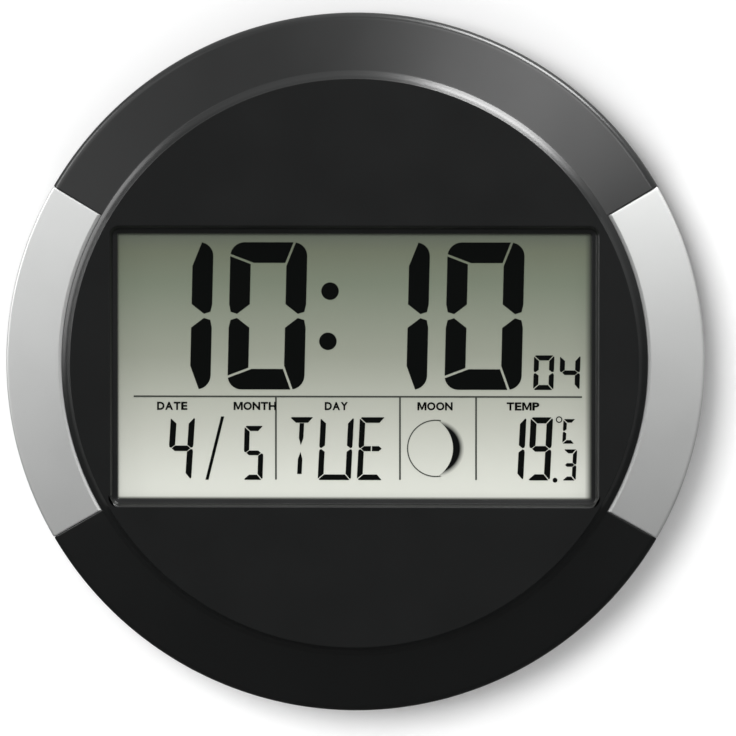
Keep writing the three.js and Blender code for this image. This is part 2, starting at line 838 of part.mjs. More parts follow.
// Additions and cuts for the recess that the push keys sit in
function keyPanel() {
  const floorInner = recessDepth + backThickness;
  const at = [0, keyRow];
  const panel = tub(recessWidth, recessHeight, recessCorner, backThickness, at, recessDepth, floorInner);
  const holes = keyNames.map((name, i) => plate(
    roundedRectangle(
      keyCapWidth(name) + 2 * keyHoleGap,
      keyHeight + 2 * keyHoleGap,
      keyHeight / 2 + keyHoleGap,
      [keyPlace(i), keyRow],
    ),
    [0, 2 * floorInner],
    cornerSteps,
  ));
  return { shell: panel.shell, cuts: [panel.hollow, ...holes] };
}

function ventSlots() {
  return Array.from({ length: ventCount }, (_, i) => {
    const x = ventPlace + ventPitch * (i - (ventCount - 1) / 2);
    const slot = roundedRectangle(ventWidth, ventHeight, ventWidth / 2 - layerGap, [x, keyRow]);
    return plate(slot, [-backThickness, 2 * backThickness]);
  });
}

// Ribs with a round notch for the ferrite rod, and pinned posts for the receiver board
function antennaSupports() {
  const grooveRadius = rodRadius + cradleGap;
  const groove = new THREE.CylinderGeometry(grooveRadius, grooveRadius, rodLength, roundSides);
  groove.rotateZ(Math.PI / 2);
  const half = rodRadius + cradleMargin;
  const ribs = [-1, 1].map((side) => {
    const x = antennaShift + side * cradleSpan;
    return block(
      [x - cradleThickness / 2, x + cradleThickness / 2],
      [antennaHeight - half, antennaHeight + half],
      [backThickness / 2, antennaDepth],
    );
  });
  const posts = [-1, 1].flatMap((side) => {
    const at = [receiverPlace + side * receiverPostSpan, antennaHeight];
    const pinTop = receiverBack + layerGap + receiverThickness + receiverPinReach;
    return [
      post(receiverPostRadius, [backThickness / 2, receiverBack], at),
      post(receiverPinRadius, [backThickness, pinTop], at),
    ];
  });
  const cuts = [toSolid(groove.translate(antennaShift, antennaHeight, antennaDepth))];
  return { shells: [...ribs, ...posts], cuts };
}

// Bosses of the case screws, with a deep recess for each head
function coverBosses() {
  const slope = backRise / backSlopeWidth;
  const foot = slope * (screwCircle + coverBossRadius - backFlatRadius) + backThickness / 4;
  return {
    shells: screwPlaces().map((at) => post(coverBossRadius, [foot, bossJoint], at)),
    cuts: screwPlaces().flatMap((at) => [
      post(screwHeadRadius + headHoleGap, [-backThickness, screwSeat], at),
      post(screwRadius + screwHoleGap, [0, 2 * bossJoint], at),
    ]),
  };
}

// The rear shell: a shallow dish whose rim stands inside the case's skirt
function backCover() {
  const slope = backRise / backSlopeWidth;
  const lipInner = backRadius - backLipThickness;
  const dish = revolve([
    [0, 0],
    [backFlatRadius, 0],
    [backRadius, backRise],
    [backRadius, backRise + backLipHeight],
    [lipInner, backRise + backLipHeight],
    [lipInner, backRise - slope * backLipThickness + backThickness],
    [backFlatRadius, backThickness],
    [0, backThickness],
  ], largeSides);
  const bosses = coverBosses();
  const keyhole = keyholePocket();
  const well = batteryWell();
  const keys = keyPanel();
  const antenna = antennaSupports();
  const moulding = join(
    dish,
    ...bosses.shells,
    keyhole.shell,
    ...well.shells,
    keys.shell,
    ...antenna.shells,
  );
  const body = cut(
    moulding,
    ...bosses.cuts,
    ...keyhole.cuts,
    ...well.cuts,
    ...keys.cuts,
    ...antenna.cuts,
    ...ventSlots(),
  );
  return piece('back_cover', body, finish(0x1d1f1f, 0.62));
}

// The battery door, placed by its top edge on its outer face, which is the line that it tilts about
function batteryDoor() {
  const slab = plate(
    roundedRectangle(doorWidth, doorHeight, doorCorner - doorGap, [0, -doorHeight / 2]),
    [0, doorThickness],
  );
  const hooks = [-1, 1].map((side) => {
    const middle = side * doorTabPlace;
    const across = [middle - doorTabWidth / 2, middle + doorTabWidth / 2];
    const hookTop = doorTabBack - doorInset;
    const lip = block(across, [-doorTabRoot, doorTabReach], [doorTabFront - doorInset, hookTop]);
    const root = block(across, [-doorTabRoot, 0], [doorThickness / 2, hookTop]);
    return join(lip, root);
  });
  const across = [-latchWidth / 2, latchWidth / 2];
  const leafEdge = latchInset - doorHeight;
  const leafRange = [doorThickness / 2, doorThickness + latchDepth];
  const leaf = block(across, [leafEdge, leafEdge + latchThickness], leafRange);
  const nubRange = [doorThickness + latchNubRise, doorThickness + latchNubRise + latchNubHeight];
  const nub = block(across, [leafEdge - latchNub, leafEdge + latchThickness / 2], nubRange);
  const grips = Array.from({ length: gripRidges }, (_, i) => {
    const y = 2 * gripPitch - doorHeight + i * gripPitch;
    return block(across, [y - gripWidth / 2, y + gripWidth / 2], [-gripRise, doorThickness / 2]);
  });
  const door = join(slab, ...hooks, leaf, nub, ...grips);
  const place = [0, wellMiddle + recessTopEdge - doorGap, doorInset];
  return piece('battery_door', door, finish(0x202222, 0.62), place);
}

// A cell standing on its flat end, with the positive nub on top
function cell(name) {
  const radius = cellDiameter / 2;
  const shoulder = cellLength - cellNubHeight;
  const body = revolve([
    [0, 0],
    [radius - cellChamfer, 0],
    [radius, cellChamfer],
    [radius, shoulder - cellChamfer],
    [radius - cellChamfer, shoulder],
    [cellNubRadius, shoulder],
    [cellNubRadius, cellLength],
    [0, cellLength],
  ], cellSides);
  return piece(name, body, finish(0x4a6c8c, 0.35, 0.4));
}

// A conical coil spring whose wide foot stands on its contact
function coilSpring(name) {
  const steps = springTurns * springStepsPerTurn;
  const rise = springLength - 2 * springWireRadius;
  const points = Array.from({ length: steps + 1 }, (_, i) => {
    const share = i / steps;
    const radius = springFootRadius + (springTipRadius - springFootRadius) * share;
    return [...polar(radius, 2 * Math.PI * springTurns * share), springWireRadius + rise * share];
  });
  console.log(`${name}: least gap between turns ${turnGap(points).toFixed(2)} mm`);
  return piece(name, bar(points, springWireRadius, springSides, steps), finish(0xb8b8b4, 0.3, 0.9));
}

// Least clear distance between points of the spring's wire that lie over half a turn apart
function turnGap(points) {
  const line = points.map((point) => new THREE.Vector3(...point));
  const halfTurn = springStepsPerTurn / 2;
  const apart = line.flatMap((point, i) => (
    line.slice(i + halfTurn + 1).map((other) => point.distanceTo(other))
  ));
  return Math.min(...apart) - 2 * springWireRadius;
}

// A flat contact plate over one row of cells or both, with a solder tab where it has one
function contactPlate(name, [y0, y1], side, tabRow) {
  const near = side * (wellWidth / 2 - contactGap);
  const far = side * contactPlace;
  const thick = [near, far].sort((a, b) => a - b);
  const deep = [cellHeight - contactSize / 2, cellHeight + contactSize / 2];
  const sheet = block(thick, [y0 - contactSize / 2, y1 + contactSize / 2], deep);
  const material = finish(0xcfcfca, 0.28, 0.9);
  if (tabRow === undefined) return piece(name, sheet, material);
  const tab = block(
    [contactPlace, wellWidth / 2 + wellWall + contactTabReach],
    [tabRow - contactTabWidth / 2, tabRow + contactTabWidth / 2],
    [contactTabHeight - contactThickness / 2, contactTabHeight + contactThickness / 2],
  );
  return piece(name, join(sheet, tab), material);
}

// A lead from a contact's solder tab to the rear of the main board
function batteryLead(name, color, row, padX) {
  const tabEnd = wellWidth / 2 + wellWall + contactTabReach;
  const start = contactTabHeight + contactThickness / 2 + leadRadius + layerGap;
  const padY = boardBottom - wellMiddle + leadPadRise;
  const towards = (shareX, shareY) => [tabEnd + shareX * (padX - tabEnd), row + shareY * (padY - row)];
  const points = [
    [tabEnd - leadRadius, row, start],
    [...towards(0.3, 0.25), start],
    [...towards(0.8, 0.65), start - leadRadius],
    [padX, padY - 2 * leadRadius, boardBack - 5 * leadRadius],
    [padX, padY, boardBack - leadEndGap],
  ];
  return piece(name, bar(points, leadRadius, wireSides, leadSteps), finish(color, 0.5));
}

// Everything in the battery well
function batterySet() {
  const group = new THREE.Group();
  group.position.set(0, wellMiddle, 0);
  const springs = [coilSpring('battery_spring_upper'), coilSpring('battery_spring_lower')];
  const cells = [cell('battery_upper'), cell('battery_lower')];
  [1, -1].forEach((row, i) => {
    const foot = -row * (contactPlace - contactGap);
    springs[i].position.set(foot, row * cellRow, cellHeight);
    springs[i].rotation.y = row * Math.PI / 2;
    cells[i].position.set(foot + row * (springLength + contactGap), row * cellRow, cellHeight);
    cells[i].rotation.y = row * Math.PI / 2;
  });
  group.add(
    ...springs,
    ...cells,
    contactPlate('contact_bridge', [-cellRow, cellRow], -1),
    contactPlate('contact_positive', [cellRow, cellRow], 1, cellRow),
    contactPlate('contact_negative', [-cellRow, -cellRow], 1, -cellRow),
    batteryLead('battery_lead_red', 0xa02622, cellRow, redPadPlace),
    batteryLead('battery_lead_black', 0x181818, -cellRow, blackPadPlace),
  );
  return group;
}

// The ferrite rod in its bobbin and winding, lying along x
function antenna() {
  const group = new THREE.Group();
  group.position.set(antennaShift, antennaHeight, antennaDepth);
  group.rotation.y = Math.PI / 2;
  const half = bobbinLength / 2;
  const flange = half - bobbinFlangeWidth;
  const bore = rodRadius + bobbinGap;
  const drum = bore + bobbinWall;
  const bobbin = revolve([
    [bore, -half],
    [bobbinFlangeRadius, -half],
    [bobbinFlangeRadius, -flange],
    [drum, -flange],
    [drum, flange],
    [bobbinFlangeRadius, flange],
    [bobbinFlangeRadius, half],
    [bore, half],
  ], roundSides);
  const winding = revolve([
    [drum + windingGap, windingGap - flange],
    [windingRadius, windingGap - flange],
    [windingRadius, flange - windingGap],
    [drum + windingGap, flange - windingGap],
  ], roundSides);
  const rod = post(rodRadius, [-rodLength / 2, rodLength / 2], [0, 0], roundSides);
  group.add(
    piece('ferrite_rod', rod, finish(0x35332f, 0.7)),
    piece('coil_bobbin', bobbin, finish(0xd8d2c0, 0.6)),
    piece('antenna_coil', winding, finish(0xb4672f, 0.35, 0.7)),
  );
  return group;
}

// The receiver board on its posts, with its potted chip and its crystal on the front
function receiver() {
  const group = new THREE.Group();
  group.position.set(receiverPlace, antennaHeight, receiverBack + layerGap);
  const outline = roundedRectangle(receiverWidth, receiverHeight, boardCorner / 2);
  const sheet = plate(outline, [0, receiverThickness]);
  const through = [-receiverThickness, 2 * receiverThickness];
  const holes = [-1, 1].map((side) => (
    post(receiverPinRadius + receiverPinGap, through, [side * receiverPostSpan, 0])
  ));
  const top = receiverThickness + layerGap;
  const chip = pottedChip(receiverChipRadius, receiverChipHeight);
  const can = post(receiverCrystalRadius, [-receiverCrystalLength / 2, receiverCrystalLength / 2]);
  const crystal = piece('receiver_crystal', can, finish(0xc8c8c8, 0.3, 0.9));
  crystal.position.set(0, receiverHeight / 2 - 2 * receiverCrystalRadius, top + receiverCrystalRadius);
  crystal.rotation.y = Math.PI / 2;
  group.add(
    piece('receiver_board', cut(sheet, ...holes), finish(0x2d6a3e, 0.5)),
    piece('receiver_chip', chip, finish(0x101010, 0.35), [0, 0, top]),
    crystal,
  );
  return group;
}

// A lead from the winding along the rod to the receiver board
function antennaLead() {
  const side = antennaHeight - bobbinFlangeRadius - antennaLeadRadius - cradleGap;
  const edge = receiverPlace - receiverWidth / 2;
  const landing = receiverBack + layerGap + receiverThickness + antennaLeadRadius + layerGap;
  const run = cradleMargin + antennaLeadRadius;
  const points = [
    [antennaShift + bobbinLength / 2 - bobbinFlangeWidth / 2, side, antennaDepth],
    [antennaShift + cradleSpan, side - antennaLeadRadius, antennaDepth],
    [edge - 2 * run, side + antennaLeadRadius, landing + run],
    [edge - antennaLeadRadius, antennaHeight - receiverHeight / 4, landing + antennaLeadRadius],
    [edge + run, antennaHeight - receiverHeight / 4, landing],
  ];
  const lead = bar(points, antennaLeadRadius, wireSides, leadSteps);
  return piece('antenna_lead', lead, finish(0xa8642c, 0.4, 0.5));
}

// A lead from the receiver board to the rear of the main board
function receiverLead() {
  const landing = receiverBack + layerGap + receiverThickness + leadRadius + layerGap;
  const low = antennaHeight - receiverHeight / 2;
  const points = [
    [receiverPlace, low + 2 * leadRadius, landing],
    [receiverPlace, low - leadRadius, landing],
    [receiverPlace, boardTop - leadRadius, landing + 3 * leadRadius],
    [receiverPlace, boardTop - 5 * leadRadius, boardBack - 4 * leadRadius],
    [receiverPlace, boardTop - 6 * leadRadius, boardBack - leadEndGap],
  ];
  return piece('receiver_lead', bar(points, leadRadius, wireSides, leadSteps), finish(0x9a9a9a, 0.5));
}

// A pan-head screw whose head is at the back and whose point is at the front
function screw(name, radius, length, headRadius, headHeight, place) {
  const body = revolve([
    [0, -headHeight],
    [headRadius - screwHeadRound, -headHeight],
    [headRadius, screwHeadRound - headHeight],
    [headRadius, 0],
    [radius, 0],
    [radius, length - radius],
    [screwTipRadius, length],
    [0, length],
  ], screwSides);
  return piece(name, body, finish(0x8e9092, 0.35, 0.9), place);
}

function caseScrews() {
  return screwPlaces().map(([x, y], i) => screw(
    `case_screw_${i + 1}`,
    screwRadius,
    screwLength,
    screwHeadRadius,
    screwHeadHeight,
    [x, y, screwSeat - screwSeatGap],
  ));
}

function boardScrews() {
  return earPlaces().map(([x, y], i) => screw(
    `board_screw_${i + 1}`,
    boardScrewRadius,
    boardScrewLength,
    boardScrewHeadRadius,
    boardScrewHeadHeight,
    [x, y, boardBack - screwSeatGap],
  ));
}

const clock = new THREE.Group();
clock.rotation.x = Math.PI / 2;
clock.add(
  frontCase(),
  sideTrim('side_trim_left', -1),
  sideTrim('side_trim_right', 1),
  displayGasket(),
  displayLayer(
    'lcd_front_polariser',
    visibleWidth + 2 * polariserMargin,
    visibleHeight + 2 * polariserMargin,
    polariserFront,
    polariserThickness,
    finish(0xa9ad9c, 0.3),
  ),
  displayLayer(
    'lcd_front_glass',
    frontGlassWidth,
    frontGlassHeight,
    frontGlassFront,
    glassThickness,
    finish(0xdfe6e2, 0.05),
  ),
  displayLayer(
    'lcd_rear_glass',
    frontGlassWidth,
    rearGlassHeight,
    rearGlassFront,
    glassThickness,
    finish(0xd9e0dc, 0.05),
  ),
  displayLayer(
    'lcd_reflector',
    visibleWidth + 2 * rearGlassMargin,
    visibleHeight + 2 * rearGlassMargin,
    reflectorFront,
    reflectorThickness,
    finish(0xb9bcae, 0.4, 0.3),
  ),
  displayFrame(),
  elastomerStrip('zebra_strip_upper', 1),
  elastomerStrip('zebra_strip_lower', -1),
  mainBoard(),
  boardParts(),
  temperatureSensor(),
  antenna(),
  receiver(),
  antennaLead(),
  receiverLead(),
  batterySet(),
  backCover(),
  batteryDoor(),
  ...keyNames.map((name, i) => pushKey(name, i)),
  ...caseScrews(),
  ...boardScrews(),
);

const root = new THREE.Group();
root.add(clock);

export default root;
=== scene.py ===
# %% [markdown]
# Dressing a radio-controlled wall clock
#
# The clock is already built at its real size as separate solids, and those solids are the fixed frame of
# this lesson. Nothing here moves them. Each step makes one piece or one finish over that frame, so that
# faceted solids turn into the smooth mouldings, films and metal of the real clock. Sizes are written in
# millimetres.

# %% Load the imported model
import json
import math

import bmesh
import bpy
import numpy as np
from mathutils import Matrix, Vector


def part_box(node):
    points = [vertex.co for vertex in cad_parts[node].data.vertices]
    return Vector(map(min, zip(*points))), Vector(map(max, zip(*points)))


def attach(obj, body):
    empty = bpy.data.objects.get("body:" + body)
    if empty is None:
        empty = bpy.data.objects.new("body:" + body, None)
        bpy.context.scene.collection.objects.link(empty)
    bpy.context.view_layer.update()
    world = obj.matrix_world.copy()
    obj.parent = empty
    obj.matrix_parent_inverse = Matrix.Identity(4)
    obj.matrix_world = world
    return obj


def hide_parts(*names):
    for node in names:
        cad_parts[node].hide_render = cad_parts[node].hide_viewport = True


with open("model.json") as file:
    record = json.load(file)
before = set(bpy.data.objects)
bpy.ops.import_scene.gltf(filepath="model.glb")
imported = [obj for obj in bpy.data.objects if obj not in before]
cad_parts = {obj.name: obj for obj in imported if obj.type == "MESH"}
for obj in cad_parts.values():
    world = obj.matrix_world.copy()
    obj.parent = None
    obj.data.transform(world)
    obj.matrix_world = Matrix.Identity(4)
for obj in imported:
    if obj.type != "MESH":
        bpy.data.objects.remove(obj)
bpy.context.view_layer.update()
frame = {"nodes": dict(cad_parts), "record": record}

mm = 0.001
scene = bpy.context.scene
scene.view_settings.view_transform = "Standard"
print("nodes in the frame:", len(frame["nodes"]))

# %% [markdown]
# Camera
#
# The photograph shows the clock through a long lens from a little above and to the right, so its outline is
# nearly a circle. One could match such a view by eye. Here the circle's place and radius in the picture fix
# the camera: they give the size of one pixel at the rim, and with a chosen distance that gives the lens.
# The camera stands off along the viewing direction and is then moved sideways to frame the clock.

# %% Camera
photo_size = 736
clock_middle_pixel = (355.9, 361.1)
clock_radius_pixels = 348.25
view_distance, view_reach = 3.0, 100
view_right, view_up = math.radians(2.0), math.radians(2.8)
widest_out = 8.8

case_low, case_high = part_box("front_case")
pixel = case_high.x / clock_radius_pixels
camera_data = bpy.data.cameras.new("camera")
camera_data.lens = camera_data.sensor_width * view_distance / (photo_size * pixel)
camera_data.clip_end = view_reach
camera = bpy.data.objects.new("camera", camera_data)
picture_right = Vector((math.cos(view_right), math.sin(view_right), 0))
level_out = Vector((math.sin(view_right), -math.cos(view_right), 0))
to_camera = level_out * math.cos(view_up) + Vector((0, 0, math.sin(view_up)))
picture_up = to_camera.cross(picture_right)
camera.location = Vector((0, -widest_out * mm, 0)) + to_camera * view_distance
camera.location += picture_right * (photo_size / 2 - clock_middle_pixel[0]) * pixel
camera.location += picture_up * (clock_middle_pixel[1] - photo_size / 2) * pixel
camera.rotation_euler = to_camera.to_track_quat("Z", "Y").to_euler()
scene.collection.objects.link(camera)
scene.camera = camera
print("one pixel at the rim is", round(pixel / mm, 4), "mm, lens", round(camera_data.lens), "mm")

# %% [markdown]
# Shader arithmetic
#
# A finish is a formula: so much grain, so much colour drift, a gradient over the height. Wiring such
# formulas node by node is hard to read, so a small class stands for one socket and turns plus, minus and
# times into Math nodes. One method adds every other kind of node.

# %% A socket that can be used in sums
class Wire:
    """One socket of a shader tree. Sums and products of wires and numbers add Math nodes."""

    def __init__(self, tree, socket=None):
        self.tree = tree
        self.socket = socket

    def node(self, kind, settings=None, values=None, output=0):
        """Adds a node, applies its settings, then fills its inputs."""
        made = self.tree.nodes.new(kind)
        for key, value in (settings or {}).items():
            if key == "stops":
                fill_ramp(made.color_ramp, value)
            else:
                setattr(made, key, value)
        self.fill(made, values or {})
        return Wire(self.tree, made.outputs[output])

    def fill(self, node, values):
        """Fills inputs of a node: a wire is linked, a number or a colour is set on the socket."""
        for key, value in values.items():
            if isinstance(value, Wire):
                self.tree.links.new(value.socket, node.inputs[key])
            else:
                node.inputs[key].default_value = value

    def math(self, operation, first, second):
        return self.node("ShaderNodeMath", {"operation": operation}, {0: first, 1: second})

    def __add__(self, other):
        return self.math("ADD", self, other)

    def __mul__(self, other):
        return self.math("MULTIPLY", self, other)

    def __sub__(self, other):
        return self.math("SUBTRACT", self, other)

    def __rsub__(self, other):
        return self.math("SUBTRACT", other, self)

    __radd__ = __add__
    __rmul__ = __mul__

    def between(self, low, high):
        """Runs from 0 at low to 1 at high, held at both ends."""
        return self.node("ShaderNodeMapRange", None, {"Value": self, "From Min": low, "From Max": high})

    def blend(self, first, second):
        """The first colour where this wire is 0, the second where it is 1."""
        return self.node("ShaderNodeMix", {"data_type": "RGBA"}, {0: self, 6: first, 7: second}, 2)

    def axis(self, letter):
        """One coordinate of a place."""
        return self.node("ShaderNodeSeparateXYZ", None, {"Vector": self}, letter)

    def noise(self, scale, detail):
        """Cloudy values about 0.5 over a place, scale of them to the metre."""
        return self.node("ShaderNodeTexNoise", None, {"Vector": self, "Scale": scale, "Detail": detail})


def fill_ramp(ramp, stops):
    """Sets a colour ramp to a list of (place, colour)."""
    while len(ramp.elements) < len(stops):
        ramp.elements.new(0.5)
    for element, (place, colour) in zip(ramp.elements, stops):
        element.position = place
        element.color = colour


def paint(red, green, blue):
    """A colour in steps of 0 to 255, as the linear values that a shader takes."""
    share = np.array([red, green, blue]) / 255
    linear = np.where(share <= 0.04045, share / 12.92, ((share + 0.055) / 1.055) ** 2.4)
    return (*linear.tolist(), 1.0)


print("colour check, mid grey:", [round(value, 3) for value in paint(128, 128, 128)])

# %% [markdown]
# Finishes with a grain
#
# Moulded plastic, paint and rolled metal are never one flat colour: the tone drifts over some centimetres,
# and a fine grain breaks up the gloss. One function gives all of that, and each finish only names its own
# numbers.

# %% The common finish
cloud_scale, cloud_share, roughness_swing, plain_specular = 45.0, 0.6, 0.12, 0.5


def start_finish(name):
    """A new material, its shader and the Object coordinates of the piece."""
    material = bpy.data.materials.new(name)
    material.use_nodes = True
    place = Wire(material.node_tree).node("ShaderNodeTexCoord", output="Object")
    return material, material.node_tree.nodes["Principled BSDF"], place


def tone(colour, factor):
    """A colour made lighter or darker by a factor."""
    return (*(min(value * factor, 1.0) for value in colour[:3]), 1.0)


def grained(name, colour, roughness, metallic=0.0, drift=0.1, grain_size=0.5, grain_depth=0.01,
            specular=plain_specular):
    """A finish whose colour and roughness drift by noise and whose normals carry a grain, sizes in mm."""
    material, shader, place = start_finish(name)
    cloud, grain = place.noise(cloud_scale, 3.0), place.noise(1 / (grain_size * mm), 2.0)
    mixed = cloud * cloud_share + grain * (1 - cloud_share)
    bump = {"Strength": 1.0, "Distance": grain_depth * mm, "Height": grain}
    place.fill(shader, {
        "Base Color": mixed.blend(tone(colour, 1 - drift), tone(colour, 1 + drift)),
        "Roughness": mixed * roughness_swing + (roughness - roughness_swing / 2),
        "Metallic": metallic,
        "Specular IOR Level": specular,
        "Normal": place.node("ShaderNodeBump", None, bump),
    })
    return material


trim_silver = grained("trim_silver", paint(205, 206, 205), 0.5, metallic=0.75, drift=0.05, grain_size=0.3,
                      grain_depth=0.006)
print("first finish:", trim_silver.name)

# %% [markdown]
# From arrays to pieces
#
# Every new piece below is a grid of points worked out in whole arrays: rows are the stations of a profile
# and columns are steps round or along it. The helpers join neighbours with four-cornered faces, close the
# ends, turn all faces outwards and shade them smooth up to a stated edge angle.

# %% Grid, mesh and dressing helpers
def spot(x, up, out):
    """Points of the frame, in metres, from millimetres right, up and out of the wall."""
    return np.stack(np.broadcast_arrays(x, -np.asarray(out, float), up), axis=-1) * mm


def grid_faces(rows, columns, round_rows=False):
    """Faces between neighbours of a grid that is numbered row by row and closed round its columns."""
    r, c = np.meshgrid(np.arange(rows - (not round_rows)), np.arange(columns), indexing="ij")
    below, beside = (r + 1) % rows, (c + 1) % columns
    corners = [r * columns + c, r * columns + beside, below * columns + beside, below * columns + c]
    return np.stack(corners, axis=-1).reshape(-1, 4).tolist()


def add_piece(name, points, faces, sharp=35):
    """A closed mesh with its faces turned outwards, smooth except over edges sharper than the angle."""
    mesh = bpy.data.meshes.new(name)
    mesh.from_pydata(np.reshape(points, (-1, 3)).tolist(), [], faces)
    solid = bmesh.new()
    solid.from_mesh(mesh)
    bmesh.ops.recalc_face_normals(solid, faces=solid.faces)
    solid.to_mesh(mesh)
    solid.free()
    mesh.shade_smooth()
    mesh.set_sharp_from_angle(angle=math.radians(sharp))
    piece = bpy.data.objects.new(name, mesh)
    scene.collection.objects.link(piece)
    return piece


def loft_arrays(rows):
    """Points and faces of a solid through closed outlines of equal point count, with both ends filled."""
    rows = np.asarray(rows)
    count, columns = rows.shape[:2]
    ends = [list(range(columns)), list(range((count - 1) * columns, count * columns))]
    return rows.reshape(-1, 3), grid_faces(count, columns) + ends


def loft(name, rows, sharp=35):
    """A piece of one such solid."""
    return add_piece(name, *loft_arrays(rows), sharp)


def together(name, solids, sharp=35):
    """A piece of several closed solids."""
    points, faces, count = [], [], 0
    for corners, around in solids:
        points.append(corners)
        faces += [[corner + count for corner in face] for face in around]
        count += len(corners)
    return add_piece(name, np.concatenate(points), faces, sharp)


def prism(outline, low, high):
    """A straight solid over an outline, between two distances from the wall."""
    return loft_arrays([spot(*outline.T, out) for out in (low, high)])


def dress(piece, finish, body, slot, *nodes):
    """Gives a piece its finish, the body it rides on and the nodes that it stands for. The slot is not used.
    """
    piece.data.materials.clear()
    piece.data.materials.append(finish)
    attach(piece, body)
    if nodes:
        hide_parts(*nodes)
    print(f"{piece.name}: {len(piece.data.polygons)} faces on {body}")
    return piece


# %% Profiles with rounded corners
def rounded_path(corners, radii, steps=6, hold=0.25):
    """A path through corners where each inner corner is an arc of its radius. The arc touches both sides at
    radius / tan(half the inner angle) from the corner, and a held point on each side keeps flats flat."""
    corners = np.asarray(corners, float)
    path = [corners[:1]]
    for before, corner, after, radius in zip(corners, corners[1:], corners[2:], radii):
        back = (before - corner) / np.linalg.norm(before - corner)
        on = (after - corner) / np.linalg.norm(after - corner)
        half = math.acos(np.clip(back @ on, -1, 1)) / 2
        reach = radius / math.tan(half)
        middle = corner + (back + on) / np.linalg.norm(back + on) * radius / math.sin(half)
        spokes = np.stack([corner + back * reach, corner + on * reach]) - middle
        start, end = np.arctan2(spokes[:, 1], spokes[:, 0])
        turn = (end - start + math.pi) % (2 * math.pi) - math.pi
        angles = start + turn * np.linspace(0, 1, steps + 1)
        arc = middle + radius * np.stack([np.cos(angles), np.sin(angles)], axis=1)
        path += [corner[None] + back * (reach + hold), arc, corner[None] + on * (reach + hold)]
    return np.concatenate(path + [corners[-1:]])


def offset_corners(corners, distance):
    """The corners moved to the right of their direction: each goes along the mean of its two side normals,
    far enough that both sides keep the distance."""
    corners = np.asarray(corners, float)
    sides = np.diff(corners, axis=0)
    sides /= np.linalg.norm(sides, axis=1, keepdims=True)
    normals = np.stack([sides[:, 1], -sides[:, 0]], axis=1)
    before, after = np.vstack([normals[:1], normals]), np.vstack([normals, normals[-1:]])
    shared = 1 + np.sum(before * after, axis=1, keepdims=True)
    return corners + distance * (before + after) / shared


sample = rounded_path([(0, 0), (1, 0), (1, 1)], [0.3], steps=2, hold=0.1)
print("sample arc:", np.round(sample, 2).tolist())

# %% [markdown]
# Front case
#
# The front is one satin-black moulding: a flat disc with a sunk window, a narrow bevel, a ring that slopes
# back and a rounded rim with its skirt. A lathe profile gives all but the window, and cutting a rectangle
# into a lathe mesh leaves ragged shading. So the whole shell is one grid instead: columns are angles round
# the clock, and the rows near the middle follow the window's outline and turn into circles further out.

# %% Sizes of the front case
front = -case_low.y / mm
skirt_rear = -case_high.y / mm
case_radius = case_high.x / mm
film_low, film_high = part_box("lcd_front_polariser")
film_half_width, film_half_height = film_high.x / mm, (film_high.z - film_low.z) / 2 / mm
film_margin, lip_width, lip_land, lip_wall, lip_end = 1.3, 2.5, 0.5, 1.0, 0.53
window_corner = 3.3
window_half_width = film_half_width - film_margin + lip_width
window_half_height = film_half_height - film_margin + lip_width
window_middle = (film_high.z + film_low.z) / 2 / mm
case_wall, ring_width, bevel_width, bevel_height = 2.5, 20.0, 3.1, 3.2
ring_slope = math.tan(math.radians(13))
disc_edge_round, bevel_round, bevel_foot_round, rim_round, lip_round = 0.2, 8.0, 1.0, 2.9, 0.7
crest_shift, bevel_break, face_edge = 0.2, (1.5, 1.81), 1.65
inner_round, inner_rim_round, inner_face_edge = 0.3, 2.0, 2.2
ring_inner = case_radius - ring_width
disc_radius = ring_inner - bevel_width
face_inner = front - case_wall
trim_half_angle, trim_inset, trim_gap, trim_thickness = math.radians(30.2), 0.4, 0.15, 1.2
trim_rim_round = 1.2
trim_rear = skirt_rear + 2.0
print("window", round(2 * window_half_width, 1), "by", round(2 * window_half_height, 1), "mm")
print("disc radius", round(disc_radius, 2), "mm")


# %% Outline of the window and profile of the ring
def window_reach(angles, offset):
    """Distance from the axis to the window's outline, moved outwards by offset, along each angle. It is the
    nearer straight side, or inside a corner the point where the ray leaves the corner's circle."""
    c, s = np.cos(angles), np.sin(angles)
    to_side = (window_half_width + offset) / np.maximum(np.abs(c), 1e-9)
    to_end = (window_half_height + offset + np.sign(s) * window_middle) / np.maximum(np.abs(s), 1e-9)
    straight = np.minimum(to_side, to_end)
    centre_x = np.sign(c) * (window_half_width - window_corner)
    centre_y = window_middle + np.sign(s) * (window_half_height - window_corner)
    along = c * centre_x + s * centre_y
    leave = along**2 - centre_x**2 - centre_y**2 + (window_corner + offset) ** 2
    past_side = straight * c / np.sign(c) > np.abs(centre_x)
    past_end = np.abs(straight * s - window_middle) > window_half_height - window_corner
    return np.where(past_side & past_end, along + np.sqrt(np.maximum(leave, 0)), straight)


ring_foot = front - bevel_height - ring_width * ring_slope
outer_corners = [
    (disc_radius - face_edge, front),
    (disc_radius + crest_shift, front),
    (disc_radius + bevel_break[0], front - bevel_break[1]),
    (ring_inner, front - bevel_height),
    (case_radius, ring_foot),
    (case_radius, skirt_rear),
]


def ring_line(rim):
    """The outer line from the face over the bevel and the ring to the skirt, with a rim of the given radius,
    and the length from its start to each of its points."""
    radii = [disc_edge_round, bevel_round, bevel_foot_round, rim]
    path = rounded_path(outer_corners, radii, steps=10, hold=0.12)
    return path, np.concatenate([[0], np.cumsum(np.linalg.norm(np.diff(path, axis=0), axis=1))])


case_line, trim_line = ring_line(rim_round), ring_line(trim_rim_round)


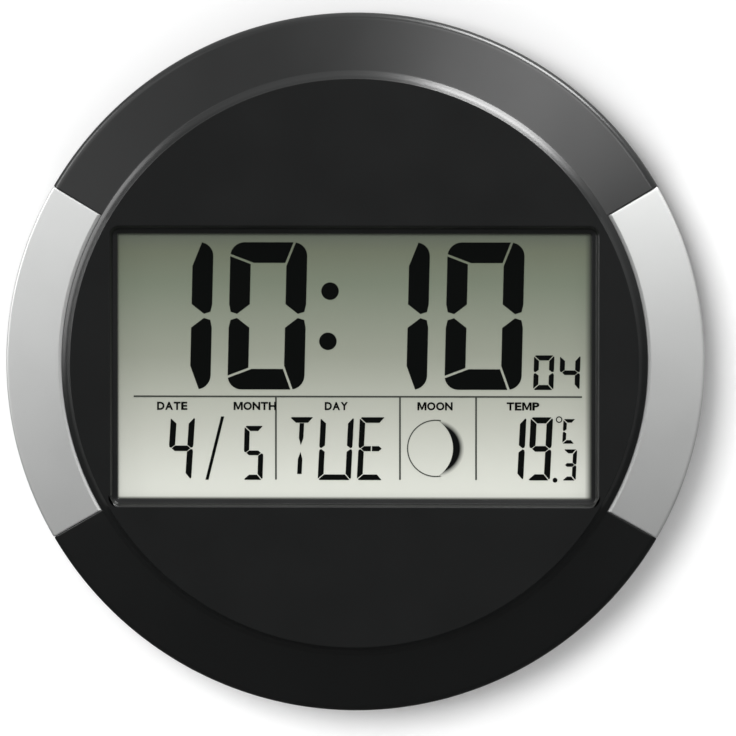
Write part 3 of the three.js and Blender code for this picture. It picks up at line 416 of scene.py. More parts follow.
def on_line(line, length):
    """Points of a line at given lengths along it, and the outward normals there."""
    path, lengths = line
    step = 0.02

    def at(place):
        return np.stack([np.interp(place, lengths, path[:, i]) for i in (0, 1)], axis=1)

    tangent = at(length + step) - at(length - step)
    tangent /= np.linalg.norm(tangent, axis=1, keepdims=True)
    return at(length), np.stack([-tangent[:, 1], tangent[:, 0]], axis=1)


def length_at(line, column, value):
    """Length along a line, past the bevel, where its radius (column 0) or height (column 1) has a value."""
    path, lengths = line
    past = lengths >= np.interp(ring_inner, path[:, 0], lengths) - 2
    keys, lengths = path[past, column], lengths[past]
    order = np.argsort(keys, kind="stable")
    return np.interp(value, keys[order], lengths[order])


seat_start = length_at(case_line, 0, ring_inner + trim_inset - trim_gap)
seat_end = length_at(case_line, 1, trim_rear - trim_gap)
print("seat of the trims, along the line:", round(seat_start, 2), "to", round(seat_end, 2))


# %% Seats of the trims
seat_middle_radius = (ring_inner + case_radius) / 2
seat_round, seat_wall = 0.35, 0.02
seat_steps = np.array([-0.45, -seat_round, -0.25, -0.16, -0.09, -0.03, 0, seat_wall, 0.3])
seat_angles = trim_half_angle + (trim_gap - seat_steps) / seat_middle_radius


def side_angle(angles):
    """Angle to the nearer end of the horizontal axis, 0 at 3 and at 9 o'clock."""
    return np.abs(np.arctan(np.tan(angles)))


def all_quarters(angles):
    """The same angles above and below 3 o'clock and 9 o'clock."""
    return np.concatenate([side + sign * angles for side in (0, math.pi) for sign in (-1, 1)])


def seat_depth(length, angles):
    """How far the trims' seats sink: nothing outside them, a quarter-round edge, then the full depth."""
    to_end = seat_middle_radius * (trim_half_angle - side_angle(angles)) + trim_gap
    inside = np.minimum(np.minimum(length - seat_start, seat_end - length), to_end)
    edge = np.clip(inside + seat_round, 0, seat_round)
    sunk = inside > seat_wall / 2
    return np.where(sunk, trim_thickness + trim_gap, seat_round - np.sqrt(seat_round**2 - edge**2))


print("columns at the seats' ends:", len(all_quarters(seat_angles)))

# %% The front shell as one grid
column_step, corner_span, corner_step, ring_step = 0.9, 3.0, 0.15, 1.5


def front_shell():
    """The window's lip, the face, the bevel, ring, rim and skirt, then back along the inside."""
    corner_angle = math.atan2(window_half_height - window_corner, window_half_width - window_corner)
    fine = np.radians(np.arange(-corner_span, corner_span, corner_step))
    even = np.radians(np.arange(0.0, 360.0, column_step)) + 1e-5
    angles = np.concatenate([even, all_quarters(corner_angle + fine), all_quarters(seat_angles)])
    angles = np.unique(np.round(angles % (2 * math.pi), 6))
    flat = np.ones_like(angles)
    lip_corners = [
        (-lip_width, face_inner),
        (-lip_width, face_inner + lip_land),
        (-lip_wall, face_inner + 1.5 * lip_land),
        (0, front),
        (lip_end, front),
    ]
    lip = rounded_path(lip_corners, [0.15, 0.3, lip_round], hold=0.1)
    rows = [(window_reach(angles, offset), out * flat) for offset, out in lip]
    first, last = rows[-1][0], case_line[0][0, 0]
    rows += [(first + (last - first) * share, front * flat) for share in (0.25, 0.5, 0.75)]
    along_ring = np.arange(seat_start + 1, seat_end, ring_step)
    steps = [case_line[1], seat_start + seat_steps, seat_end - seat_steps, along_ring]
    lengths = np.unique(np.round(np.concatenate(steps), 4))
    point, normal = on_line(case_line, lengths)
    depth = seat_depth(lengths[:, None], angles[None])
    rows += list(zip(point[:, :1] - normal[:, :1] * depth, point[:, 1:] - normal[:, 1:] * depth))
    inner_corners = offset_corners(outer_corners, case_wall)
    inner_corners[0, 0] = disc_radius - inner_face_edge
    inner_radii = [inner_round, inner_round, inner_round, inner_rim_round]
    inner = rounded_path(inner_corners, inner_radii, steps=3, hold=0.12)[::-1]
    rows += [(radius * flat, out * flat) for radius, out in inner]
    rows.append((window_reach(angles, lip_wall - lip_width), face_inner * flat))
    radius, out = (np.array([row[i] for row in rows]) for i in (0, 1))
    points = spot(radius * np.cos(angles), radius * np.sin(angles), out)
    return add_piece("front_case_shell", points, grid_faces(*radius.shape, round_rows=True), 32)


case_black = grained("case_black", paint(18, 19, 19), 0.3, grain_size=0.35, grain_depth=0.006)
front_pieces = [dress(front_shell(), case_black, "case", "case_black", "front_case")]

# %% [markdown]
# Silver side trims
#
# Two silver-painted strips lie in the ring at 3 and 9 o'clock, flush with it and with a thin gap all round.
# They could be cut out of the ring's mesh, but then they would share its edges. Each is its own closed
# sweep of the ring's profile instead, with a crisper rim than the ring and a chamfer along its edges that
# catches the light.

# %% The two trims
chamfer_round = 0.1
inner_chamfer, inner_slope, end_chamfer, rim_chamfer = 1.0, 0.6, 0.3, 0.6
edge_steps = np.array([
    0, 0.15, 0.25, 0.3, 0.35, 0.45, 0.56, 0.6, 0.65, 0.75, 0.9, 0.96, 1.0, 1.04, 1.1, 1.25,
])
edge_zone, turn_zone, turn_count = 1.3, 0.014, 64


def edge_drop(distance, width):
    """How far a chamfer of slope 1 drops at a distance d from its edge, rounded off where it starts:
    (width - d + sqrt((width - d)^2 + round^2)) / 2."""
    over = width - distance
    return (over + np.sqrt(over**2 + chamfer_round**2)) / 2


def trim_span(line):
    """The lengths along a line at which the trims start and end."""
    return length_at(line, 0, ring_inner + trim_inset), length_at(line, 1, trim_rear)


def side_trim(name, middle):
    """A strip of the ring's profile, turned through the trim's angle. Its outer face drops at its edges: a
    wide and shallow chamfer along the inner edge, and narrow ones at both ends and along the rim."""
    (start, end), (inner_start, inner_end) = trim_span(trim_line), trim_span(case_line)
    inside = trim_line[1][(trim_line[1] > start + edge_zone) & (trim_line[1] < end - edge_zone)]
    lengths = np.unique(np.round(np.concatenate([start + edge_steps, inside, end - edge_steps]), 4))
    wide_turns = np.linspace(turn_zone, trim_half_angle, turn_count)
    turn = np.concatenate([edge_steps / seat_middle_radius, wide_turns])
    angles = np.concatenate([turn - trim_half_angle, trim_half_angle - turn[-2::-1]])
    inner_drop = inner_slope * edge_drop(lengths - start, inner_chamfer)
    along_edges = np.maximum(inner_drop, edge_drop(end - lengths, rim_chamfer))
    to_end = seat_middle_radius * (trim_half_angle - np.abs(angles))
    drop = np.maximum(along_edges[:, None], edge_drop(to_end, end_chamfer)[None])
    point, normal = on_line(trim_line, lengths)
    inner_lengths = inner_start + (lengths - start) / (end - start) * (inner_end - inner_start)
    inner_point, inner_normal = on_line(case_line, inner_lengths[::-1])
    inner = inner_point - inner_normal * trim_thickness
    radius = np.concatenate([point[:, :1] - normal[:, :1] * drop, inner[:, :1] + 0 * drop])
    out = np.concatenate([point[:, 1:] - normal[:, 1:] * drop, inner[:, 1:] + 0 * drop])
    points = spot(radius * np.cos(middle + angles), radius * np.sin(middle + angles), out)
    return loft(name, points.transpose(1, 0, 2), 40)


for name, middle in (("side_trim_right", 0.0), ("side_trim_left", math.pi)):
    front_pieces.append(dress(side_trim(f"{name}_strip", middle), trim_silver, "case", "trim_silver", name))

# %% [markdown]
# Display film
#
# What shows in the window is the display's front film, olive grey at the top and pale at the foot, because it
# reflects a room that is darker above. That reflection is painted into the film's colour. A picture could be
# laid on it, but the film is only a gradient, so a colour ramp over the height paints it, and the same
# painted ramp can be used again where a mark fades into the film.

# %% The film with its painted reflection gradient
def rounded_rectangle(half_width, half_height, corner, steps=6):
    """An outline made of four quarter arcs about the corners' centres, joined by straight sides."""
    quarter = np.linspace(0, math.pi / 2, steps + 1)
    angles = np.concatenate([quarter + turn * math.pi / 2 for turn in range(4)])
    middle_x = np.repeat([1, -1, -1, 1], steps + 1) * (half_width - corner)
    middle_y = np.repeat([1, 1, -1, -1], steps + 1) * (half_height - corner)
    return np.stack([middle_x + corner * np.cos(angles), middle_y + corner * np.sin(angles)], axis=1)


film_front, film_rear, film_corner, film_edge = -film_low.y / mm, -film_high.y / mm, 1.0, 0.05
window_side = window_half_width - lip_width
window_foot = window_middle - window_half_height + lip_width
window_top = window_middle + window_half_height - lip_width
# Painted reflection: the film is pale at the foot and olive grey at the top, as a room darker above shows in
# it.
film_reflection_stops = [
    (0.03, paint(214, 216, 207)),
    (0.27, paint(182, 184, 174)),
    (0.54, paint(143, 147, 134)),
    (0.81, paint(113, 121, 105)),
    (0.93, paint(106, 112, 95)),
    (1.00, paint(94, 100, 89)),
]
# Painted shade: the film's edges turn this dark colour where the lip shades them.
edge_shade = paint(58, 61, 55)
shade_left, shade_right, shade_foot, shade_top = 0.6, 2.4, 0.9, 0.9


def film_reflection_colour(place):
    """The film's painted reflection: its colour at each height between the window's foot and its top."""
    share = place.axis("Z").between(window_foot * mm, window_top * mm)
    return place.node("ShaderNodeValToRGB", {"stops": film_reflection_stops}, {"Fac": share})


def film_finish():
    """The film's painted reflection ramp, with painted shade where the lip shades it, towards each side over
    its own width.
    """
    material, shader, place = start_finish("display_film")
    x, up = place.axis("X"), place.axis("Z")
    lit = x.between(-window_side * mm, (shade_left - window_side) * mm)
    lit = lit * x.between(window_side * mm, (window_side - shade_right) * mm)
    lit = lit * up.between(window_foot * mm, (window_foot + shade_foot) * mm)
    lit = lit * up.between(window_top * mm, (window_top - shade_top) * mm)
    place.fill(shader, {
        "Base Color": lit.blend(edge_shade, film_reflection_colour(place)),
        "Roughness": place.noise(2500.0, 2.0) * 0.1 + 0.4,
        "Specular IOR Level": 0.2,
    })
    return material


def display_film():
    """A thin sheet with slightly rounded edges: its outline, drawn in by the edge at both faces."""
    rows = []
    for inset, out in (
        (film_edge, film_rear),
        (0, film_rear + film_edge),
        (0, film_front - film_edge),
        (film_edge, film_front),
    ):
        x, up = rounded_rectangle(film_half_width - inset, film_half_height - inset, film_corner).T
        rows.append(spot(x, up + window_middle, out))
    return loft("display_film", rows)


dress(display_film(), film_finish(), "case", "display_film", "lcd_front_polariser")

# %% [markdown]
# Segments of the display
#
# Digits on such a display are seven strokes cut from one rounded outline, with slanting seams between them:
# the horizontal strokes keep the round corners on the left, the upright ones keep them on the right.
# Drawing each stroke by hand would take a long list of points. Here every stroke is the digit's rounded
# outline cut by a few straight lines, so the same rule gives the tall time digits and the small ones.

# %% Cutting strokes out of a digit's outline
def clip(outline, point, direction):
    """The part of a convex outline on the side of a line that the direction points to. An edge that crosses
    the line gives one new point, at the share d / (d - d_next) of its length."""
    side = (outline - point) @ np.asarray(direction, float)
    ahead, side_ahead = np.roll(outline, -1, axis=0), np.roll(side, -1)
    crosses = (side >= 0) != (side_ahead >= 0)
    share = side / np.where(crosses, side - side_ahead, 1)
    crossing = outline + (ahead - outline) * share[:, None]
    both = np.stack([outline, crossing], axis=1).reshape(-1, 2)
    return both[np.stack([side >= 0, crosses], axis=1).ravel()]


def left_of(outline, *line, gap=0.0):
    """What lies to the left of a line through points, at least a gap away from each of its parts."""
    for start, end in zip(line, line[1:]):
        along = np.subtract(end, start) / np.linalg.norm(np.subtract(end, start))
        left = np.array([-along[1], along[0]])
        outline = clip(outline, start + left * gap, left)
    return outline


tall_stroke = 4.0
tall_corners, small_corners = (0.62, 0.68, 8), (0.12, 0.35, 1)


def digit_strokes(width, height, stroke):
    """The strokes of one character by letter: a top, b and c right, d foot, e and f left, g middle, h and i
    the halves of g, m and n the halves of a middle upright. Tall digits have large round corners and seams
    that leave them whole, and small ones have blunt corners and mitred seams."""
    w, h, t = width, height, stroke
    seam_share, round_share, round_steps = tall_corners if stroke > tall_stroke else small_corners
    seam, shoulder, tip, gap = seam_share * t, 0.57 * t, 0.39 * t, max(0.055 * t, 0.16)
    mid = h / 2
    high, point, waist = mid + shoulder, mid + 0.1 * t, mid + 0.35 * shoulder
    body = rounded_rectangle(w / 2, h / 2, round_share * t, round_steps) + (w / 2, h / 2)

    def flip(outline):
        return outline * (1, -1) + (0, h)

    top = left_of(body, (0, h - t), (w, h - t))
    top = left_of(top, (0, h - seam), (t, h - t), gap=gap)
    top = left_of(top, (w - t, h - t), (w - seam, h), gap=gap)
    right = left_of(body, (w - t, h), (w - t, 0))
    right = left_of(right, (w - seam, h), (w - t, h - t), gap=gap)
    right = left_of(right, (w - t, high), (w - tip, point), (w - 0.2 * tip, waist), (w, high))
    left = left_of(body, (t, 0), (t, h))
    left = left_of(left, (t, h - t), (0, h - seam), gap=gap)
    left = left_of(left, (0, high), (0.2 * tip, waist), (tip, point), (t, high))
    under, over = mid - 0.46 * t, mid + 0.46 * t
    middle = [(tip + gap, mid), (t, under), (w - t, under), (w - tip - gap, mid), (w - t, over), (t, over)]
    middle = np.array(middle, float)
    post_left, post_right, post_top, taper = w / 2 - 0.4 * t, w / 2 + 0.4 * t, h - t - gap, mid + 1.9 * t
    post = [(post_left, taper), (w / 2, mid + 0.6 * t), (post_right, taper)]
    post = np.array(post + [(post_right, post_top), (post_left, post_top)], float)
    return {
        "a": top, "b": right, "c": flip(right), "d": flip(top), "e": flip(left), "f": left, "g": middle,
        "h": clip(middle, (w / 2 - 1.2 * gap, 0), (-1, 0)),
        "i": clip(middle, (w / 2 + 1.2 * gap, 0), (1, 0)),
        "m": post, "n": flip(post),
    }


character_strokes = {
    "0": "abcdef", "1": "bc", "3": "abcdg", "4": "bcfg", "5": "acdfg", "9": "abcdfg",
    "C": "adef", "E": "adefhi", "T": "amn", "U": "bcdef",
}


def characters(row):
    """Outlines of a row of characters, each leaning by a share of its height."""
    outlines = []
    for character, left, foot, size, lean in row:
        strokes = digit_strokes(*size)
        for letter in character_strokes[character]:
            x, up = strokes[letter].T
            outlines.append(np.stack([left + x + lean * up, foot + up], axis=1))
    return outlines


time_size = (26.9, 51.5, 7.2)
print("points of a stroke:", len(digit_strokes(*time_size)["a"]))

# %% [markdown]
# Marks on the film
#
# Each group of marks is one piece: thin plates of ink, a few hundredths of a millimetre high, standing on
# the film. A texture would blur close up, and plates stay crisp in any view.

# %% Plates of ink
ink_low, ink_high = film_front + 0.01, film_front + 0.05
ink_black = paint(7, 9, 8)
ink_grain = {"grain_size": 0.8, "grain_depth": 0.001}
display_ink = grained("display_ink", ink_black, 0.5, specular=0.04, **ink_grain)
rule_grey = grained("rule_grey", paint(62, 65, 60), 0.5, specular=0.1, **ink_grain)
print_origin = np.array([0.56, 0.78])


def plates(name, outlines, low=ink_low, high=ink_high, origin=print_origin):
    """Thin closed plates: each outline without its double points, carried from one height to another."""
    solids = []
    for outline in outlines:
        apart = np.linalg.norm(outline - np.roll(outline, 1, axis=0), axis=1) > 1e-5
        solids.append(prism(outline[apart] + origin, low, high))
    return together(name, solids, 30)


def arc(middle, radius, start, end, steps=32):
    """Points on a circle from one angle to another, in degrees."""
    angles = np.radians(np.linspace(start, end, steps + 1))
    return np.stack([middle[0] + radius * np.cos(angles), middle[1] + radius * np.sin(angles)], axis=1)


def ring(middle, radius, width, start, end):
    """A band along a circle, from one angle to another."""
    return np.concatenate([arc(middle, radius, start, end), arc(middle, radius - width, end, start)])


def box_outline(left, right, low, high):
    """A rectangle between two sides and two heights."""
    return np.array([(left, low), (right, low), (right, high), (left, high)], float)


print("ink stands", round(ink_high - film_front, 3), "mm over the film")

# %% Digits and rules
time_foot, time_lefts, time_lean = -10.05, (-77.85, -45.0, -2.15, 30.9), 0.023
seconds_lefts, seconds_size, seconds_lean = (61.9, 71.0), (7.1, 12.1, 1.75), 0.03
lower_foot, lower_lean, slash_top = -41.7, 0.05, -19.5
time_row = [(digit, left, time_foot, time_size, time_lean) for digit, left in zip("1010", time_lefts)]
colon = [arc(middle, 3.05, 0, 354, 59) for middle in ((-9.05, 24.4), (-9.8, 6.85))]
seconds_row = [
    (digit, left, time_foot, seconds_size, seconds_lean) for digit, left in zip("04", seconds_lefts)
]
date_row = [
    ("4", -66.2, lower_foot, (8.5, 22.0, 2.1), 0.065),
    ("5", -39.5, lower_foot, (6.8, 18.9, 1.8), 0.03),
]
slash = [np.array([(-52.7, lower_foot), (-51.6, lower_foot), (-46.1, slash_top), (-47.2, slash_top)])]
day_row = [
    (letter, left, lower_foot, (width, 22.0, 1.95), lower_lean)
    for letter, left, width in (("T", -24.2, 8.6), ("U", -13.4, 11.6), ("E", 0.3, 9.1))
]
warmth_row = [
    ("1", 49.8, lower_foot, (8.7, 22.1, 2.15), lower_lean),
    ("9", 60.0, lower_foot, (7.8, 22.1, 2.15), lower_lean),
    ("C", 72.1, -28.8, (4.4, 8.6, 1.25), lower_lean),
    ("3", 72.1, lower_foot, (4.7, 10.9, 1.4), lower_lean),
]
warmth_dot = [arc((69.6, -41.6), 0.85, 0, 345, 23)]
degree_ring = [ring((71.0, -20.4), 1.15, 0.38, 0, 359.9)]
rule_width, rule_height, rule_foot = 0.6, -12.8, -41.6
rules = [box_outline(-77.8, 79.0, rule_height, rule_height + rule_width)]
rules += [box_outline(x, x + rule_width, rule_foot, rule_height) for x in (-28.3, 15.1, 41.7)]
marks = {
    "time_digits": characters(time_row) + colon,
    "seconds_digits": characters(seconds_row),
    "date_digits": characters(date_row) + slash,
    "weekday_letters": characters(day_row),
    "temperature_digits": characters(warmth_row) + warmth_dot + degree_ring,
}
for name, outlines in marks.items():
    dress(plates(name, outlines), display_ink, "case", "display_film")
dress(plates("display_rules", rules), rule_grey, "case", "display_film")

# %% [markdown]
# Moon sign
#
# The moon phase is a thin circle with a dark crescent whose outer edge fades away. The crescent is one plate
# between two arcs, and its ink blends into the film's painted reflection ramp with the distance from the
# circle's middle.

# %% Outline and crescent
moon_middle, moon_radius, moon_line = (27.9, -30.55), 10.05, 0.4
bulge_middle, bulge_radius = 22.36, 11.6
fade_start, fade_end = 8.3, 10.0


def moon_finish():
    """Ink that turns into the film's painted reflection colour between two distances from the circle's
    middle.
    """
    material, shader, place = start_finish("moon_shade")
    middle = spot(*(print_origin + moon_middle), ink_high).tolist()
    away = place.node("ShaderNodeVectorMath", {"operation": "DISTANCE"}, {0: place, 1: middle}, "Value")
    fade = away.between(fade_start * mm, fade_end * mm)
    place.fill(shader, {
        "Base Color": fade.blend(ink_black, film_reflection_colour(place)),
        "Roughness": fade * 0.1 + 0.4,
        "Specular IOR Level": 0.1,
    })
    return material


half_chord = math.degrees(math.asin(0.975 * moon_radius / bulge_radius))
crescent = np.concatenate([
    arc(moon_middle, moon_radius, 82, -82, 60),
    arc((bulge_middle, moon_middle[1]), bulge_radius, -half_chord, half_chord, 60),
])
moon_outline = ring(moon_middle, moon_radius, moon_line, 80, 280)
dress(plates("moon_crescent", [crescent]), moon_finish(), "case", "display_film")
dress(plates("moon_outline", [moon_outline]), rule_grey, "case", "display_film")

# %% [markdown]
# Labels over the fields
#
# Small bold capitals name the fields. Blender's own text tool draws most letters, and its offset makes them
# bold, but that offset folds the narrow M over itself, so the M is drawn by its corners. Each letter is
# scaled as an array to its own share of the word's width.

# %% Letters as unit solids
letter_widths = {
    "M": 1.0, "O": 0.92, "N": 0.84, "D": 0.84, "A": 0.9,
    "H": 0.82, "Y": 0.86, "T": 0.78, "P": 0.74, "E": 0.7,
}
letter_gap, letter_bold = 0.07, 0.04
m_corners = np.array([
    (0, 0), (0.21, 0), (0.21, 0.64), (0.42, 0.06), (0.58, 0.06), (0.79, 0.64), (0.79, 0), (1, 0), (1, 1),
    (0.73, 1), (0.5, 0.37), (0.27, 1), (0, 1),
])


def drawn_letter(letter):
    """A letter of the built-in font as a closed bold solid that fills the unit cube."""
    text = bpy.data.curves.new(letter, "FONT")
    text.body = letter
    text.extrude = 0.1
    text.offset = letter_bold
    text.resolution_u = 4
    drawn = bpy.data.objects.new(letter, text)
    scene.collection.objects.link(drawn)
    bpy.context.view_layer.update()
    mesh = bpy.data.meshes.new_from_object(drawn.evaluated_get(bpy.context.evaluated_depsgraph_get()))
    bpy.data.objects.remove(drawn)
    solid = bmesh.new()
    solid.from_mesh(mesh)
    bmesh.ops.remove_doubles(solid, verts=solid.verts, dist=1e-5)
    solid.to_mesh(mesh)
    solid.free()
    corners = np.empty(len(mesh.vertices) * 3)
    mesh.vertices.foreach_get("co", corners)
    corners = corners.reshape(-1, 3)
    faces = [list(face.vertices) for face in mesh.polygons]
    bpy.data.meshes.remove(mesh)
    low, high = corners.min(axis=0), corners.max(axis=0)
    return (corners - low) / (high - low), faces


def corner_letter(corners):
    """A letter given by its corners, as a closed solid that fills the unit cube."""
    return loft_arrays([np.column_stack([corners, np.full(len(corners), out)]) for out in (0, 1)])


print("corners of an M as a solid:", len(corner_letter(m_corners)[0]))


# %% Words as plates
def label(word, left, right, foot, height):
    """A word between left and right: letter after letter, each as wide as its share, with equal gaps."""
    widths = np.array([letter_widths[letter] for letter in word])
    share = (right - left) / (widths.sum() + letter_gap * (len(word) - 1))
    starts = left + share * (np.cumsum(widths + letter_gap) - widths - letter_gap)
    solids = []
    for letter, start, width in zip(word, starts, widths * share):
        unit, faces = corner_letter(m_corners) if letter == "M" else drawn_letter(letter)
        x, up, out = unit.T
        x, up = print_origin[0] + start + x * width, print_origin[1] + foot + up * height
        solids.append((spot(x, up, ink_low + out * (ink_high - ink_low)), faces))
    return together(f"label_{word.lower()}", solids, 30)


label_foot, label_height = -17.25, 2.85
for word, left, right in (
    ("DATE", -69.6, -59.0),
    ("MONTH", -42.8, -27.9),
    ("DAY", -10.9, -2.8),
    ("MOON", 21.5, 33.8),
    ("TEMP", 52.7, 64.1),
):
    dress(label(word, left, right, label_foot, label_height), display_ink, "case", "display_film")

# %% [markdown]
# Tools for the back
#
# The back cover is a moulding full of recesses, holes and walls. A grid can't hold all of that, so the
# cover starts as a turned dish, and simple solids are joined to it and cut out of it by Boolean modifiers.
# A cutter that flares at its mouth, like a trumpet, leaves a hole with a rounded edge, so no bevel is
# needed afterwards.

# %% Simple solids and the carving helper
def flare(rounding):
    """Stations (wider, deeper) of a cutter's mouth: at a turn t of a quarter circle it is wider by
    rounding * (1 - sin t) and deeper by rounding * (1 - cos t). It starts well outside the surface."""
    turns = np.radians([0, 15, 30, 45, 60, 75, 90])
    wider, deeper = rounding * (1 - np.sin(turns)), rounding * (1 - np.cos(turns)) - 0.01
    return [(rounding, -1), *zip(wider, deeper)]


def mouth(outline_at, surface_at, floor, rounding):
    """A cutter that flares where it leaves a surface and then goes straight to its floor. The surface is a
    function that gives its distance from the wall at each point of an outline."""
    rows = []
    for offset, depth in flare(rounding):
        outline = outline_at(offset)
        rows.append(spot(*outline.T, surface_at(outline) + depth))
    return loft_arrays([*rows, spot(*outline_at(0).T, floor)])


def level(out):
    """A flat surface at one distance from the wall."""
    return lambda outline: out


def beam(profile, left, right):
    """A straight solid along X, over a profile of (up, out)."""
    return loft_arrays([spot(x, *np.asarray(profile, float).T) for x in (left, right)])


def panel(middle, half_width, half_height, corner):
    """A rounded rectangle about a middle, as a function of how far it is moved outwards."""

    def outline_at(offset=0.0):
        return middle + rounded_rectangle(half_width + offset, half_height + offset, corner + offset)

    return outline_at


def round_outline(middle, radius):
    """A circle about a middle, as a function of how far it is moved outwards."""
    return lambda offset=0.0: arc(middle, radius + offset, 0, 352.5, 47)


def keep_modified(piece):
    """Makes the mesh that a piece's modifiers give its own mesh."""
    bpy.context.view_layer.update()
    piece.data = bpy.data.meshes.new_from_object(piece.evaluated_get(bpy.context.evaluated_depsgraph_get()))
    piece.data.name = piece.name
    piece.modifiers.clear()


def carve(piece, joined=(), cut=(), sharp=35):
    """Joins groups of solids to a piece, cuts groups of solids out of it and keeps the result as its mesh.
    Weighted normals then let large flat faces stay flat beside the small faces of a rounded edge."""
    tools = []
    for operation, groups in (("UNION", joined), ("DIFFERENCE", cut)):
        for group in groups:
            step = piece.modifiers.new(operation, "BOOLEAN")
            step.operation, step.solver = operation, "EXACT"
            step.object = together(operation.lower(), group)
            tools.append(step.object)
    keep_modified(piece)
    for tool in tools:
        bpy.data.objects.remove(tool)
    piece.data.shade_smooth()
    piece.data.set_sharp_from_angle(angle=math.radians(sharp))
    weighted = piece.modifiers.new("weighted", "WEIGHTED_NORMAL")
    weighted.keep_sharp = True
    keep_modified(piece)
    return piece


print("points of a round outline:", len(round_outline((0, 0), 1.0)()))

# %% [markdown]
# Back cover
#
# The cover is a shallow dish of grained black plastic. It has six deep screw holes on its slope, a keyhole
# with a pocket behind it, a recess for five keys, vent slots by the temperature sensor, and a battery well
# with a sunk seat for its door. Each feature below is a list of solids that are joined to the dish, or of
# cutters.

# %% Sizes of the back
back_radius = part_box("back_cover")[1].x / mm
back_slope_width, back_rise, back_wall, dish_core = 15.7, 3.4, 2.0, 30
back_lip_height, back_lip_thickness = 5.5, 1.6
back_flat_radius = back_radius - back_slope_width
back_slope = back_rise / back_slope_width
wall_root = back_wall / 2
screw_circle, screw_seat, boss_joint = 112.3, 5.5, 8.0
head_hole, shank_hole, boss_radius, head_hole_round = 3.1, 1.7, 4.4, 0.45
screw_middles = list(arc((0, 0), screw_circle, 0, 300, 5))
key_names = ("mode", "plus", "minus", "wave", "reset")
key_row, key_pitch, key_half_width, key_half_height, key_gap = -42.2, 20.0, 5.5, 3.25, 0.25
key_middles = {name: np.array([key_pitch * (i - 2), key_row]) for i, name in enumerate(key_names)}
well_middle, well_half_width, well_half_height, well_floor, well_wall = -80.4, 30.5, 15.1, 17.5, 1.6
door_lap, door_seat, door_gap, seat_corner = 3.0, 2.3, 0.3, 3.0
keyhole_middle, keyhole_radius, slot_radius, slot_rise = 87.8, 4.8, 2.5, 8.5
vent_place, vent_pitch, vent_count, vent_half_width, vent_half_height = -70.0, 3.6, 5, 0.8, 7.0
print("back cover radius", round(back_radius, 2), "mm, flat", round(back_flat_radius, 2))


# %% The dish and its screw bosses
def back_dish():
    """The cover's wall as one turned profile, from the flat back over the slope and lip to the inside."""
    lip_inner, lip_front = back_radius - back_lip_thickness, back_rise + back_lip_height
    lip_foot = back_rise - back_slope * back_lip_thickness + back_wall
    corners = [
        (dish_core, 0), (back_flat_radius, 0), (back_radius, back_rise), (back_radius, lip_front),
        (lip_inner, lip_front), (lip_inner, lip_foot), (back_flat_radius, back_wall), (dish_core, back_wall),
    ]
    profile = rounded_path(corners, [6.0, 0.8, 0.3, 0.3, 0.4, 4.0])
    angles = np.radians(np.arange(0, 360, 1.25))[None]
    radius, out = profile[:, :1], profile[:, 1:] + 0 * angles
    return loft("back_cover_shell", spot(radius * np.cos(angles), radius * np.sin(angles), out))


def slope_at(outline):
    """The slope's distance from the wall: it rises with the radius from the edge of the flat."""
    return back_slope * (np.linalg.norm(outline, axis=1) - back_flat_radius)


boss_foot = back_slope * (screw_circle + boss_radius - back_flat_radius) + back_wall / 4
boss_solids, head_holes, shank_holes = [], [], []
for middle in screw_middles:
    head = round_outline(middle, head_hole)
    boss_solids.append(prism(round_outline(middle, boss_radius)(), boss_foot, boss_joint))
    head_holes.append(mouth(head, slope_at, screw_seat, head_hole_round))
    shank_holes.append(prism(round_outline(middle, shank_hole)(), screw_seat - 1, boss_joint + 1))
print("screw bosses:", len(boss_solids), "from", round(boss_foot, 2), "to", boss_joint, "mm")


# %% Keyhole, keys, vents and antenna supports
def keyhole_outline(offset=0.0):
    """A round entry with a narrower slot above it: the entry's arc starts where the slot's sides meet it."""
    entry, slot = keyhole_radius + offset, slot_radius + offset
    turn = math.degrees(math.acos(slot / entry))
    top = arc((0, keyhole_middle + slot_rise), slot, 0, 180, 24)
    return np.concatenate([top, arc((0, keyhole_middle), entry, 180 - turn, 360 + turn, 48)])


def key_outline(name, offset=0.0):
    """A key's pill, or a round one for reset, moved outwards by an offset."""
    half_width = key_half_height if name == "reset" else key_half_width
    return panel(key_middles[name], half_width, key_half_height, key_half_height)(offset)


def key_hole(name):
    """A key's outline with its gap, cut through the recess."""

    def outline_at(offset):
        return key_outline(name, key_gap + offset)

    return mouth(outline_at, level(recess_floor), hole_floor, hole_round)


pocket_roof, pocket_wall_width, recess_floor, hole_floor, hole_round = 7.0, 1.5, 1.7, 6, 0.3
pocket = panel((0, keyhole_middle + slot_rise / 2), 6.2, 10.45, 1.4)
pocket_wall = prism(pocket(pocket_wall_width), wall_root, pocket_roof + pocket_wall_width)
recess = panel((0, key_row), 52.0, 7.5, 5.0)
recess_wall = prism(recess(back_wall), wall_root, recess_floor + back_wall)
key_holes = [key_hole(name) for name in key_names]
vents = []
for i in range(vent_count):
    vent_x = vent_place + vent_pitch * (i - (vent_count - 1) / 2)
    vent = panel((vent_x, key_row), vent_half_width, vent_half_height, 0.75)
    vents.append(mouth(vent, level(0), 2 * back_wall, hole_round))

